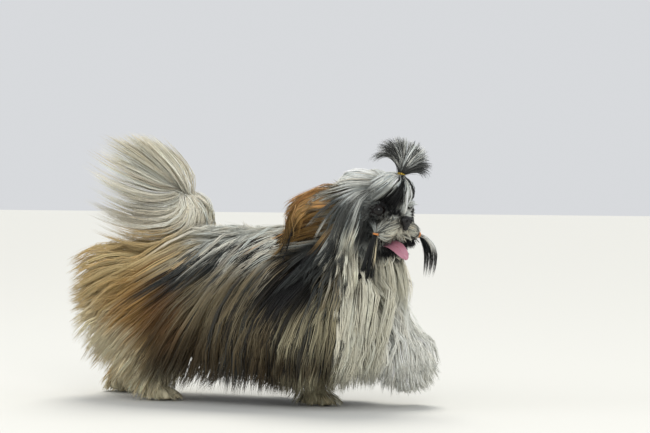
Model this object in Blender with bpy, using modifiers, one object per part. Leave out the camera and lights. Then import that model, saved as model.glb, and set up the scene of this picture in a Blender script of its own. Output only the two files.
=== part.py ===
"""A long-coated shih tzu at a trot, as a still model at life size.

The solids give the outline out to the tips of the coat. The body is modelled whole, as one mass
of coat, and then parted with thin cuts into the parts that a person would name. Lengths are in
metres. +X is forward, +Y is the dog's left, +Z is up, and the floor is at z = 0. The shapes are
laid out in the dog's own frame, and the whole model is centred over its footprint at the end.
"""
import math

import bmesh
import bpy
import numpy as np
from mathutils import Matrix, Vector

# Driving dimensions of the dog.
BACK_HEIGHT = 0.274
HEM_HEIGHT = 0.024
SKIRT_HALF_WIDTH = 0.120
EYEBALL_RADIUS = 0.0104
NOSE_WIDTH = 0.0176

# Where the middle of the skull is, and how far the head turns to the dog's right.
HEAD_CENTRE = Vector((0.209, 0.005, 0.306))
HEAD_TURN = math.radians(-20)

# The gap of each thin cut, and the size of the mesh cells that the masses are fused with.
GAP = 0.0003
BODY_CELL = 0.0055
LOCK_CELL = 0.0032

# Where each foot stands or hangs.
RIGHT_FORE_FOOT = (0.113, -0.016)
LEFT_FORE_FOOT = (0.238, 0.046)
RIGHT_HIND_FOOT = (-0.150, -0.052)
LEFT_HIND_FOOT = (-0.276, 0.040)

RIGHT = -1
LEFT = 1


def empty_scene():
    for old in list(bpy.data.objects):
        bpy.data.objects.remove(old, do_unlink=True)


def make_collection(name):
    collection = bpy.data.collections.new(name)
    bpy.context.scene.collection.children.link(collection)
    return collection


def make_material(name, colour, roughness, metallic=0.0):
    material = bpy.data.materials.new(name)
    material.use_nodes = True
    shader = material.node_tree.nodes["Principled BSDF"]
    shader.inputs["Base Color"].default_value = (*colour, 1.0)
    shader.inputs["Roughness"].default_value = roughness
    shader.inputs["Metallic"].default_value = metallic
    return material


def head_frame():
    """The matrix from the head's own axes (forward, left, up) to the dog's."""
    return Matrix.Translation(HEAD_CENTRE) @ Matrix.Rotation(HEAD_TURN, 4, "Z")


def on_head(forward, left, up):
    return head_frame() @ Vector((forward, left, up))


def object_from(mesh_builder, name, collection):
    mesh = bpy.data.meshes.new(name)
    mesh_builder.to_mesh(mesh)
    mesh_builder.free()
    thing = bpy.data.objects.new(name, mesh)
    collection.objects.link(thing)
    return thing


def baked(thing):
    """Apply the object's modifiers, so that its mesh is the shape they give."""
    bpy.context.view_layer.update()
    graph = bpy.context.evaluated_depsgraph_get()
    mesh = bpy.data.meshes.new_from_object(thing.evaluated_get(graph))
    thing.modifiers.clear()
    old = thing.data
    thing.data = mesh
    mesh.name = thing.name
    bpy.data.meshes.remove(old)
    return thing


def make_unit_ball():
    """The ball that every mass of coat is scaled from."""
    builder = bmesh.new()
    bmesh.ops.create_uvsphere(builder, u_segments=20, v_segments=12, radius=1.0)
    mesh = bpy.data.meshes.new("unit_ball")
    mesh.use_fake_user = True
    builder.to_mesh(mesh)
    builder.free()


def add_ball(builder, centre, radii, turn=None):
    """An ellipsoid. The turn is a rotation matrix, or none where its axes are the dog's."""
    rotation = turn if turn is not None else Matrix.Identity(4)
    scale = Matrix.Diagonal((*radii, 1.0))
    ball = bpy.data.meshes["unit_ball"].copy()
    ball.transform(Matrix.Translation(Vector(centre)) @ rotation @ scale)
    builder.from_mesh(ball)
    bpy.data.meshes.remove(ball)


def along_curve(rows, steps):
    """Rows read off a smooth curve that passes through the given rows."""
    rows = np.array(rows, float)
    padded = np.vstack([2 * rows[0] - rows[1], rows, 2 * rows[-1] - rows[-2]])
    places = np.linspace(0, len(rows) - 1, steps)
    found = []
    for place in places:
        start = min(int(place), len(rows) - 2)
        t = place - start
        before, first, last, after = padded[start:start + 4]
        found.append(0.5 * (2 * first + (last - before) * t
                            + (2 * before - 5 * first + 4 * last - after) * t ** 2
                            + (3 * first - before - 3 * last + after) * t ** 3))
    return found


def add_mass(builder, rows, steps):
    """A smooth mass of overlapping ellipsoids. A row is a centre and the three radii there."""
    for row in along_curve(rows, steps):
        add_ball(builder, row[:3], np.maximum(row[3:], 0.0015))


def add_lock(builder, rows, steps, frame=None):
    """A round tapering lock or limb. A row is a point and the radius there."""
    for row in along_curve(rows, steps):
        centre = Vector(row[:3])
        if frame is not None:
            centre = frame @ centre
        add_ball(builder, centre, [max(row[3], 0.0012)] * 3)


def fused(thing, cell, smoothing, triangles):
    """Fuse overlapping shapes into one smooth closed body of about so many triangles."""
    remesh = thing.modifiers.new("fuse", "REMESH")
    remesh.mode = "VOXEL"
    remesh.voxel_size = cell
    smooth = thing.modifiers.new("smooth", "SMOOTH")
    smooth.factor = 0.5
    smooth.iterations = smoothing
    baked(thing)
    counted = sum(len(face.vertices) - 2 for face in thing.data.polygons)
    if counted > triangles:
        thin = thing.modifiers.new("thin", "DECIMATE")
        thin.ratio = triangles / counted
        baked(thing)
    keep_largest_body(thing)
    return thing


def keep_largest_body(thing):
    """Drop crumbs that a cut or a fusing leaves beside the main body."""
    builder = bmesh.new()
    builder.from_mesh(thing.data)
    builder.verts.ensure_lookup_table()
    unseen = set(range(len(builder.verts)))
    bodies = []
    while unseen:
        stack = [unseen.pop()]
        body = []
        while stack:
            index = stack.pop()
            body.append(index)
            for edge in builder.verts[index].link_edges:
                other = edge.other_vert(builder.verts[index]).index
                if other in unseen:
                    unseen.discard(other)
                    stack.append(other)
        bodies.append(body)
    bodies.sort(key=len, reverse=True)
    crumbs = [builder.verts[index] for body in bodies[1:] for index in body]
    bmesh.ops.delete(builder, geom=crumbs, context="VERTS")
    builder.to_mesh(thing.data)
    builder.free()


def boolean(thing, tool, operation):
    step = thing.modifiers.new("cut", "BOOLEAN")
    step.operation = operation
    step.object = tool
    step.solver = "EXACT"
    baked(thing)


def copy_of(thing, name, collection):
    twin = bpy.data.objects.new(name, thing.data.copy())
    collection.objects.link(twin)
    return twin


def grown(thing, amount, collection):
    """A copy whose surface lies the given amount further out, to cut a neighbour with."""
    twin = copy_of(thing, thing.name + "_grown", collection)
    builder = bmesh.new()
    builder.from_mesh(twin.data)
    builder.normal_update()
    for vertex in builder.verts:
        vertex.co += vertex.normal * amount
    builder.to_mesh(twin.data)
    builder.free()
    return twin


def hide_cutter(cutter):
    cutter.hide_render = True
    cutter.display_type = "WIRE"


def fit_beside(thing, neighbour, collection, gap=GAP):
    """Cut a piece back from its neighbour's surface, with a thin gap."""
    cutter = grown(neighbour, gap, collection)
    boolean(thing, cutter, "DIFFERENCE")
    keep_largest_body(thing)
    bpy.data.objects.remove(cutter, do_unlink=True)


def box(name, low, high, collection, frame=None, margin=0.0):
    """A box between two corners, given in the dog's frame or in a frame of its own."""
    low = Vector(low) - Vector((margin,) * 3)
    high = Vector(high) + Vector((margin,) * 3)
    place = Matrix.Translation((low + high) / 2) @ Matrix.Diagonal((*(high - low), 1.0))
    if frame is not None:
        place = frame @ place
    builder = bmesh.new()
    bmesh.ops.create_cube(builder, size=1.0, matrix=place)
    cutter = object_from(builder, name, collection)
    hide_cutter(cutter)
    return cutter


def part_off(rest, name, low, high, collections, frame=None):
    """Part the piece inside a box off the rest with a thin cut, and return that piece."""
    body_parts, cutters = collections
    piece = copy_of(rest, name, body_parts)
    inside = box(name + "_inside", low, high, cutters, frame)
    boolean(piece, inside, "INTERSECT")
    keep_largest_body(piece)
    outside = box(name + "_outside", low, high, cutters, frame, GAP)
    boolean(rest, outside, "DIFFERENCE")
    return piece


# The colour and roughness of each piece. A name stands for each piece whose name starts with it.
FINISHES = {
    "topknot_band": ((0.62, 0.50, 0.12), 0.5),
    "moustache_band": ((0.75, 0.36, 0.12), 0.5),
    "moustache_tail": ((0.05, 0.05, 0.05), 0.6),
    "topknot": ((0.16, 0.17, 0.18), 0.6),
    "nose": ((0.012, 0.012, 0.014), 0.3),
    "eye": ((0.020, 0.012, 0.008), 0.1),
    "tongue": ((0.62, 0.26, 0.30), 0.4),
    "tail": ((0.62, 0.60, 0.50), 0.7),
    "rump": ((0.48, 0.38, 0.22), 0.7),
    "hindleg": ((0.34, 0.25, 0.13), 0.7),
    "paw_hind": ((0.60, 0.55, 0.42), 0.7),
    "paw_fore_right": ((0.30, 0.28, 0.20), 0.7),
    "paw_fore_left": ((0.72, 0.72, 0.66), 0.7),
    "foreleg_right": ((0.24, 0.20, 0.13), 0.7),
    "foreleg_left": ((0.72, 0.72, 0.66), 0.7),
    "chest": ((0.70, 0.70, 0.64), 0.7),
    "ear": ((0.30, 0.22, 0.12), 0.7),
    "chin": ((0.10, 0.10, 0.09), 0.7),
    "muzzle": ((0.56, 0.54, 0.46), 0.7),
    "head": ((0.40, 0.42, 0.43), 0.7),
    "neck": ((0.40, 0.34, 0.24), 0.7),
    "trunk": ((0.32, 0.29, 0.22), 0.7),
}


def finish_piece(piece):
    """Give a piece its own material, and shade its round surfaces smooth."""
    start = next(key for key in FINISHES if piece.name.startswith(key))
    colour, roughness = FINISHES[start]
    piece.data.materials.clear()
    piece.data.materials.append(make_material(piece.name + "_finish", colour, roughness))
    piece.data.shade_smooth()
    piece.data.set_sharp_from_angle(angle=math.radians(50))


def add_trunk_coat(builder):
    """The barrel under its coat, from the croup to the shoulders, with the coat's skirts."""
    middle = BACK_HEIGHT - 0.105
    add_mass(builder, [
        (-0.130, 0, middle, 0.060, 0.090, 0.104),
        (-0.060, 0, middle, 0.060, 0.092, 0.109),
        (0.050, 0, middle, 0.060, 0.096, 0.105),
        (0.150, 0, middle, 0.060, 0.088, 0.105),
    ], 17)
    for side in (RIGHT, LEFT):
        reach = SKIRT_HALF_WIDTH - 0.052
        add_mass(builder, [
            (-0.190, side * (reach - 0.012), HEM_HEIGHT + 0.088, 0.060, 0.056, 0.088),
            (-0.080, side * (reach - 0.003), HEM_HEIGHT + 0.094, 0.050, 0.053, 0.092),
            (0.040, side * reach, HEM_HEIGHT + 0.096, 0.050, 0.052, 0.094),
            (0.130, side * (reach - 0.004), HEM_HEIGHT + 0.092, 0.052, 0.052, 0.092),
        ], 17)


def add_rump_coat(builder):
    """Breeches and thigh coat, blown back behind the hind legs."""
    add_mass(builder, [
        (-0.150, 0, 0.160, 0.070, 0.088, 0.096),
        (-0.215, 0, 0.158, 0.080, 0.088, 0.086),
        (-0.262, 0, 0.164, 0.066, 0.078, 0.080),
    ], 9)
    for side in (RIGHT, LEFT):
        add_mass(builder, [
            (-0.196, side * 0.050, 0.106, 0.070, 0.052, 0.078),
            (-0.250, side * 0.042, 0.112, 0.056, 0.046, 0.064),
        ], 7)
    # Tufts along the back edge of the breeches.
    for height, depth, reach in ((0.222, 0.020, 0.322), (0.186, 0.024, 0.320),
                                 (0.144, 0.022, 0.314), (0.104, 0.020, 0.300)):
        for side in (RIGHT, LEFT):
            add_lock(builder, [(-reach + 0.070, side * 0.034, height, depth),
                               (-reach + 0.012, side * 0.034, height - 0.010, depth * 0.7)], 5)


def add_chest_coat(builder):
    """The white bib, from the throat down between the forelegs."""
    add_mass(builder, [
        (0.212, 0.000, 0.225, 0.040, 0.064, 0.040),
        (0.206, 0.002, 0.165, 0.050, 0.078, 0.060),
        (0.194, 0.000, 0.100, 0.050, 0.074, 0.066),
    ], 6)
    add_mass(builder, [
        (0.165, -0.052, 0.200, 0.050, 0.052, 0.060),
        (0.168, -0.058, 0.110, 0.046, 0.048, 0.080),
    ], 4)
    add_mass(builder, [
        (0.165, 0.050, 0.200, 0.050, 0.052, 0.060),
        (0.165, 0.056, 0.120, 0.046, 0.048, 0.076),
    ], 4)


def add_neck_coat(builder):
    """The neck and its mane, from the skull back to the withers."""
    add_mass(builder, [
        (0.194, 0.002, 0.290, 0.052, 0.060, 0.056),
        (0.160, 0.000, 0.258, 0.062, 0.074, 0.066),
        (0.112, 0.000, 0.215, 0.060, 0.084, 0.066),
    ], 6)


def add_ear_coat(builder):
    """Each hanging ear with its long fringe, swept back by the wind of the trot."""
    add_mass(builder, [
        (0.188, -0.052, 0.318, 0.034, 0.020, 0.028),
        (0.158, -0.068, 0.296, 0.040, 0.021, 0.036),
        (0.130, -0.078, 0.268, 0.038, 0.019, 0.040),
        (0.118, -0.084, 0.236, 0.026, 0.014, 0.030),
    ], 7)
    add_lock(builder, [(0.150, -0.060, 0.318, 0.016), (0.120, -0.068, 0.311, 0.013),
                       (0.096, -0.072, 0.304, 0.007)], 7)
    add_mass(builder, [
        (0.192, 0.052, 0.322, 0.034, 0.020, 0.026),
        (0.172, 0.072, 0.296, 0.038, 0.020, 0.036),
        (0.152, 0.082, 0.262, 0.036, 0.018, 0.040),
        (0.142, 0.086, 0.230, 0.024, 0.014, 0.030),
    ], 7)


def add_head_coat(builder):
    """The skull, the cheeks and the short muzzle with its moustache, and the bearded chin."""
    turned = Matrix.Rotation(HEAD_TURN, 4, "Z")
    add_ball(builder, on_head(-0.010, 0, 0.010), (0.056, 0.060, 0.050), turned)
    add_ball(builder, on_head(0.014, 0, 0.018), (0.038, 0.046, 0.036), turned)
    add_ball(builder, on_head(0.006, 0, -0.020), (0.046, 0.058, 0.042), turned)
    for side in (RIGHT, LEFT):
        add_ball(builder, on_head(0.014, side * 0.034, -0.042), (0.034, 0.026, 0.028), turned)
        # The hair that stands out beside the brow and the cheek.
        add_lock(builder, [(0.010, side * 0.046, 0.016, 0.020), (0.018, side * 0.050, -0.010, 0.016),
                           (0.018, side * 0.052, -0.034, 0.014)], 6, head_frame())
        # The brow hair that rises from beside each eye to the topknot.
        add_lock(builder, [(0.036, side * 0.018, 0.012, 0.014), (0.040, side * 0.008, 0.033, 0.010)],
                 4, head_frame())
        # The cushions of the moustache.
        add_lock(builder, [(0.0495, side * 0.008, -0.034, 0.0135), (0.0490, side * 0.022, -0.039, 0.0125),
                           (0.0440, side * 0.036, -0.041, 0.0060)], 5, head_frame())
    # The bridge between the eyes.
    add_ball(builder, on_head(0.040, 0, -0.008), (0.016, 0.014, 0.018), turned)
    # The open jaw with its beard.
    add_ball(builder, on_head(0.024, 0, -0.074), (0.029, 0.023, 0.011), turned)
    add_ball(builder, on_head(0.004, 0, -0.068), (0.034, 0.040, 0.022), turned)


def add_standing_leg(builder, top, foot, girth):
    """A hairy leg down to its foot. The foot reaches past the floor, which then cuts it flat."""
    x, y = foot
    add_lock(builder, [(*top, girth), ((top[0] + x) / 2, (top[1] + y) / 2, 0.080, girth * 0.92),
                       (x - 0.006, y, 0.034, girth * 0.86)], 6)
    add_ball(builder, (x + 0.006, y, 0.014), (0.036, 0.030, 0.021))
    for spread in (-0.5, 0.5):
        add_ball(builder, (x + 0.022, y + spread * 0.024, 0.010), (0.018, 0.013, 0.015))


def add_raised_leg(builder):
    """The left foreleg, lifted and reaching forward, with its bell of hair."""
    x, y = LEFT_FORE_FOOT
    add_mass(builder, [
        (0.190, 0.050, 0.120, 0.038, 0.040, 0.046),
        (0.226, y + 0.002, 0.104, 0.036, 0.040, 0.036),
        (x + 0.006, y, 0.078, 0.038, 0.040, 0.042),
        (x - 0.002, y - 0.002, 0.048, 0.036, 0.036, 0.038),
    ], 9)
    add_lock(builder, [(x + 0.008, y, 0.105, 0.020), (x + 0.036, y + 0.004, 0.096, 0.013),
                       (x + 0.047, y + 0.004, 0.070, 0.008), (x + 0.044, y + 0.002, 0.050, 0.004)], 8)
    add_lock(builder, [(x, y, 0.040, 0.022), (x - 0.004, y - 0.004, 0.020, 0.012)], 5)


def body_mass(collection):
    builder = bmesh.new()
    add_trunk_coat(builder)
    add_rump_coat(builder)
    add_chest_coat(builder)
    add_neck_coat(builder)
    add_ear_coat(builder)
    add_head_coat(builder)
    add_standing_leg(builder, (0.120, -0.050, 0.140), RIGHT_FORE_FOOT, 0.030)
    add_standing_leg(builder, (-0.140, -0.056, 0.140), RIGHT_HIND_FOOT, 0.034)
    add_standing_leg(builder, (-0.200, 0.050, 0.130), LEFT_HIND_FOOT, 0.032)
    add_raised_leg(builder)
    return fused(object_from(builder, "trunk", collection), BODY_CELL, 6, 2780)


def tail_plume(collection):
    """The tail, carried up over the back, and its plume that fans and falls behind it."""
    builder = bmesh.new()
    add_lock(builder, [(-0.090, 0, 0.250, 0.016), (-0.104, 0, 0.286, 0.020),
                       (-0.136, 0, 0.318, 0.024), (-0.172, 0, 0.352, 0.022)], 9)
    root = np.array((-0.122, 0.0, 0.298))
    # Each lock leaves the tail bone and bends over: (end x, end z, sideways, bow, thickness).
    for end_x, end_z, sideways, bow, thick in (
            (-0.196, 0.404, 0.000, 0.006, 0.020), (-0.218, 0.408, 0.008, 0.012, 0.024),
            (-0.250, 0.400, -0.010, 0.018, 0.026), (-0.278, 0.384, 0.010, 0.022, 0.026),
            (-0.296, 0.362, -0.008, 0.022, 0.026), (-0.300, 0.338, 0.012, 0.018, 0.026),
            (-0.298, 0.312, -0.012, 0.010, 0.027), (-0.284, 0.286, 0.012, 0.000, 0.027),
            (-0.262, 0.266, -0.008, -0.010, 0.026)):
        end = np.array((end_x, sideways, end_z))
        middle = (root + end) / 2 + np.array((0.0, sideways * 0.6, bow))
        add_lock(builder, [(*root, 0.020), (*middle, thick), (*end, thick * 0.5)], 9)
        tip = end + (end - middle) * 0.16
        add_lock(builder, [(*end, thick * 0.5), (*tip, 0.004)], 4)
    # The thick falling lock that turns back under the plume.
    add_mass(builder, [
        (-0.098, -0.004, 0.268, 0.020, 0.026, 0.026),
        (-0.140, -0.006, 0.262, 0.034, 0.034, 0.030),
        (-0.196, -0.006, 0.262, 0.036, 0.032, 0.032),
        (-0.240, -0.004, 0.276, 0.024, 0.024, 0.024),
    ], 7)
    return fused(object_from(builder, "tail", collection), 0.0048, 5, 620)


def topknot_fan(collection):
    """The tied lock on the head: it stands up from its band, then falls open on all sides."""
    builder = bmesh.new()
    foot = np.array((0.0435, 0.010, 0.0445))
    # Each row is one lock: (forward, left, up) of its tip from the band, and how high it arches.
    for forward, left, up, arch in ((-0.060, 0.000, 0.016, 0.036), (-0.034, 0.006, 0.040, 0.030),
                                    (-0.010, 0.008, 0.052, 0.022), (0.014, 0.012, 0.048, 0.022),
                                    (0.026, 0.022, 0.034, 0.024), (0.026, 0.034, 0.006, 0.026),
                                    (0.006, 0.034, 0.012, 0.030), (-0.012, 0.028, 0.030, 0.026),
                                    (-0.016, -0.022, 0.028, 0.028), (0.008, -0.020, 0.034, 0.026)):
        tip = foot + np.array((forward, left, up))
        middle = foot + np.array((forward * 0.45, left * 0.45, up * 0.5 + arch * 0.55))
        add_lock(builder, [(*foot, 0.0042), (*middle, 0.0090), (*tip, 0.0030)], 9, head_frame())
    drop = foot + np.array((0.026, 0.032, -0.004))
    add_lock(builder, [(*(drop + (-0.004, 0, 0.014)), 0.006), (*drop, 0.004),
                       (*(drop + (0.001, 0.002, -0.012)), 0.002)], 5, head_frame())
    return fused(object_from(builder, "topknot", collection), LOCK_CELL, 2, 400)


def moustache_tail(side, collection):
    """The tied end of the moustache, hanging from its band and blown a little."""
    name = "moustache_tail_left" if side == LEFT else "moustache_tail_right"
    builder = bmesh.new()
    if side == RIGHT:
        rows = [(0.045, -0.0430, -0.041, 0.0030), (0.042, -0.046, -0.060, 0.0066),
                (0.036, -0.048, -0.092, 0.0084), (0.032, -0.050, -0.130, 0.0040)]
    else:
        rows = [(0.045, 0.0420, -0.044, 0.0030), (0.048, 0.056, -0.051, 0.0068),
                (0.048, 0.067, -0.074, 0.0080), (0.043, 0.064, -0.102, 0.0022)]
    add_lock(builder, rows, 13, head_frame())
    return fused(object_from(builder, name, collection), 0.0024, 2, 160)


def elastic_band(name, centre, axis, radius, thickness, collection):
    """A small ring of elastic round a tied lock."""
    ring = bpy.data.curves.new(name, "CURVE")
    ring.dimensions = "3D"
    ring.bevel_depth = thickness / 2
    ring.bevel_resolution = 1
    spline = ring.splines.new("POLY")
    turns = 10
    spline.points.add(turns - 1)
    for index in range(turns):
        angle = 2 * math.pi * index / turns
        spline.points[index].co = (radius * math.cos(angle), radius * math.sin(angle), 0, 1)
    spline.use_cyclic_u = True
    curve = bpy.data.objects.new(name + "_curve", ring)
    collection.objects.link(curve)
    bpy.context.view_layer.update()
    graph = bpy.context.evaluated_depsgraph_get()
    mesh = bpy.data.meshes.new_from_object(curve.evaluated_get(graph))
    bpy.data.objects.remove(curve, do_unlink=True)
    band = bpy.data.objects.new(name, mesh)
    turn = Vector((0, 0, 1)).rotation_difference(Vector(axis)).to_matrix().to_4x4()
    mesh.transform(head_frame() @ Matrix.Translation(Vector(centre)) @ turn)
    collection.objects.link(band)
    return band


def eye(side, collection):
    name = "eye_left" if side == LEFT else "eye_right"
    builder = bmesh.new()
    place = head_frame() @ Matrix.Translation((0.0355, side * 0.030, -0.008))
    bmesh.ops.create_uvsphere(builder, u_segments=14, v_segments=8, radius=EYEBALL_RADIUS,
                              matrix=place)
    return object_from(builder, name, collection)


def nose_leather(collection):
    """The bare nose: a broad pad with two nostrils."""
    half = NOSE_WIDTH / 2
    builder = bmesh.new()
    turned = Matrix.Rotation(HEAD_TURN, 4, "Z")
    add_ball(builder, on_head(0.0665, 0, -0.0228), (0.0070, half, 0.0068), turned)
    for side in (RIGHT, LEFT):
        add_ball(builder, on_head(0.0655, side * 0.0052, -0.0228), (0.0066, 0.0046, 0.0060), turned)
    return fused(object_from(builder, "nose", collection), 0.0016, 2, 160)


def tongue(collection):
    builder = bmesh.new()
    for row in along_curve([(0.026, 0, -0.0575, 0.012, 0.0100, 0.0024),
                            (0.046, 0, -0.0590, 0.010, 0.0098, 0.0028),
                            (0.058, 0.001, -0.0680, 0.006, 0.0086, 0.0050),
                            (0.064, 0.003, -0.0790, 0.004, 0.0068, 0.0040)], 9):
        turned = Matrix.Rotation(HEAD_TURN, 4, "Z")
        add_ball(builder, on_head(*row[:3]), row[3:], turned)
    return fused(object_from(builder, "tongue", collection), 0.0018, 2, 160)


def cut_mouth(head, cutters):
    """The open mouth: a wedge between the moustache and the chin, deepest in the middle."""
    builder = bmesh.new()
    turned = Matrix.Rotation(HEAD_TURN, 4, "Z") @ Matrix.Rotation(math.radians(8), 4, "Y")
    add_ball(builder, on_head(0.052, 0, -0.0590), (0.034, 0.024, 0.0078), turned)
    wedge = object_from(builder, "mouth_opening", cutters)
    hide_cutter(wedge)
    boolean(head, wedge, "DIFFERENCE")


def flesh_boxes():
    """The box that each part of the body is parted off with, in the order of the cuts."""
    face = head_frame()
    return (
        ("ear_right", (0.086, -0.200, 0.212), (0.208, -0.0605, 0.360), None),
        ("ear_left", (0.110, 0.0635, 0.206), (0.215, 0.200, 0.360), None),
        ("chin", (0.006, -0.070, -0.096), (0.120, 0.070, -0.0600), face),
        ("muzzle", (0.036, -0.070, -0.0597), (0.120, 0.070, -0.0188), face),
        ("head", (-0.042, -0.100, -0.080), (0.120, 0.100, 0.120), face),
        ("neck", (0.090, -0.120, 0.235), (0.300, 0.120, 0.400), None),
        ("paw_fore_right", (0.060, -0.060, -0.010), (0.170, 0.030, 0.022), None),
        ("paw_hind_right", (-0.205, -0.100, -0.010), (-0.095, -0.006, 0.022), None),
        ("paw_hind_left", (-0.335, -0.006, -0.010), (-0.220, 0.090, 0.022), None),
        ("paw_fore_left", (0.185, -0.010, -0.010), (0.320, 0.110, 0.062), None),
        ("foreleg_right", (0.066, -0.160, -0.010), (0.163, 0.020, 0.130), None),
        ("foreleg_left", (0.176, 0.004, -0.010), (0.330, 0.160, 0.150), None),
        ("hindleg_right", (-0.240, -0.160, -0.010), (-0.080, -0.0002, 0.140), None),
        ("hindleg_left", (-0.400, 0.0002, -0.010), (-0.160, 0.160, 0.140), None),
        ("chest", (0.163, -0.160, -0.010), (0.320, 0.160, 0.260), None),
        ("rump", (-0.400, -0.160, -0.010), (-0.118, 0.160, 0.400), None),
    )


def centre_over_footprint(pieces):
    """Move every piece alike, so that the origin is on the floor under the middle of the box."""
    corners = np.array([vertex.co for piece in pieces for vertex in piece.data.vertices])
    low = corners.min(axis=0)
    high = corners.max(axis=0)
    shift = Vector((-(low[0] + high[0]) / 2, -(low[1] + high[1]) / 2, -low[2]))
    for piece in pieces:
        piece.data.transform(Matrix.Translation(shift))
    return shift


def build():
    empty_scene()
    body_parts = make_collection("shih_tzu")
    cutters = make_collection("cutters")
    make_unit_ball()

    # The whole coat in one, with flats under the feet and the mouth open.
    rest = body_mass(body_parts)
    floor = box("floor_cut", (-0.5, -0.3, -0.1), (0.5, 0.3, 0.0), cutters)
    boolean(rest, floor, "DIFFERENCE")
    cut_mouth(rest, cutters)

    # What is set into the coat, which leaves a thin gap round it.
    eyes = [eye(RIGHT, body_parts), eye(LEFT, body_parts)]
    nose = nose_leather(body_parts)
    bands = {
        "topknot": elastic_band("topknot_band", (0.0435, 0.010, 0.0465), (0.0, 0.1, 1.0),
                                0.0052, 0.0022, body_parts),
        "moustache_tail_right": elastic_band("moustache_band_right", (0.0448, -0.0432, -0.0425),
                                             (0.1, 0.1, 1.0), 0.0042, 0.0018, body_parts),
        "moustache_tail_left": elastic_band("moustache_band_left", (0.0454, 0.0440, -0.0452),
                                            (-0.1, -1.0, 0.5), 0.0042, 0.0018, body_parts),
    }
    for piece in [*eyes, nose, *bands.values()]:
        fit_beside(rest, piece, cutters)

    # What grows out of the coat, cut back to its surface.
    locks = {
        "tail": tail_plume(body_parts),
        "topknot": topknot_fan(body_parts),
        "moustache_tail_right": moustache_tail(RIGHT, body_parts),
        "moustache_tail_left": moustache_tail(LEFT, body_parts),
        "tongue": tongue(body_parts),
    }
    for name, lock in locks.items():
        fit_beside(lock, rest, cutters)
        if name in bands:
            fit_beside(lock, bands[name], cutters)

    flesh = [part_off(rest, name, low, high, (body_parts, cutters), frame)
             for name, low, high, frame in flesh_boxes()]
    keep_largest_body(rest)
    pieces = [rest, *flesh, *eyes, nose, *bands.values(), *locks.values()]
    for piece in pieces:
        finish_piece(piece)
    return centre_over_footprint(pieces)


shift_to_origin = build()
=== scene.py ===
"""The looks of a long-coated shih tzu at a trot, as a still life-size model.

The bare body is one skin, and every hair is a solid tapered lock that grows from it. A lock
follows the lie of the coat, and fills the room between the skin and the outer shape of the
coat, which is the shape of the solids in the frame.
"""
import math

import bmesh
import bpy
import numpy as np
from mathutils import Matrix, Vector
from mathutils.bvhtree import BVHTree


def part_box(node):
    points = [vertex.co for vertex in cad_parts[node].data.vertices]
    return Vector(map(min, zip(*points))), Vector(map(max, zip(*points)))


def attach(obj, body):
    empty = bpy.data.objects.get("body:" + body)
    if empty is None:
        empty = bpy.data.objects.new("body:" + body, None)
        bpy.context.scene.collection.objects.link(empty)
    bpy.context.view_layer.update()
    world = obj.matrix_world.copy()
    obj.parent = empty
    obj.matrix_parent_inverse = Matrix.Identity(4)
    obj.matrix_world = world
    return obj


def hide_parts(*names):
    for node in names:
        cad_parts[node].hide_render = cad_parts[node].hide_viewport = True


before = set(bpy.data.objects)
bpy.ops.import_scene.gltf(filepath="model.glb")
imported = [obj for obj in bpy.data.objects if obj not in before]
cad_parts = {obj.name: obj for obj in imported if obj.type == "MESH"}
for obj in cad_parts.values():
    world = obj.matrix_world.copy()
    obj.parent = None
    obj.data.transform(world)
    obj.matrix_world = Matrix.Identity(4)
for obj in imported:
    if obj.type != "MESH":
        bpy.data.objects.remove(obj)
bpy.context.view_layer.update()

RIGHT, LEFT = -1, 1

# Camera, floor and light.
# The camera is low, about at the height of the dog's topknot, a little ahead of its right side.
VIEW_AZIMUTH = math.radians(30)
VIEW_DISTANCE = 3.70
CAMERA_HEIGHT = 0.36
PHOTO_WIDTH, PHOTO_HEIGHT = 650, 433
FOCAL_PIXELS = 2387.0
AXIS_PIXEL = (255.0, 169.0)
DOG_ORIGIN = Vector((0.018, 0.0, 0.0))

right_of_view = Vector((math.cos(VIEW_AZIMUTH), math.sin(VIEW_AZIMUTH), 0.0))
into_view = Vector((-math.sin(VIEW_AZIMUTH), math.cos(VIEW_AZIMUTH), 0.0))
camera_data = bpy.data.cameras.new("camera")
camera_data.sensor_width = 36.0
camera_data.lens = 36.0 * FOCAL_PIXELS / PHOTO_WIDTH
camera = bpy.data.objects.new("camera", camera_data)
camera.location = DOG_ORIGIN - into_view * VIEW_DISTANCE + Vector((0, 0, CAMERA_HEIGHT))
look = (into_view
        + right_of_view * (PHOTO_WIDTH / 2 - AXIS_PIXEL[0]) / FOCAL_PIXELS
        - Vector((0, 0, 1)) * (PHOTO_HEIGHT / 2 - AXIS_PIXEL[1]) / FOCAL_PIXELS)
camera.rotation_euler = look.to_track_quat("-Z", "Y").to_euler()
bpy.context.scene.collection.objects.link(camera)
bpy.context.scene.camera = camera
bpy.context.scene.view_settings.view_transform = "Standard"

world = bpy.data.worlds.new("studio")
world.use_nodes = True
world.node_tree.nodes["Background"].inputs["Color"].default_value = (0.95, 0.97, 1.0, 1.0)
world.node_tree.nodes["Background"].inputs["Strength"].default_value = 0.72
bpy.context.scene.world = world


def soft_light(name, place, size, power, colour):
    """A square soft box that faces the middle of the dog."""
    data = bpy.data.lights.new(name, "AREA")
    data.shape = "SQUARE"
    data.size = size
    data.energy = power
    data.color = colour
    lamp = bpy.data.objects.new(name, data)
    lamp.location = place
    aim = Vector((0.0, 0.0, 0.18)) - Vector(place)
    lamp.rotation_euler = aim.to_track_quat("-Z", "Y").to_euler()
    bpy.context.scene.collection.objects.link(lamp)


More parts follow.
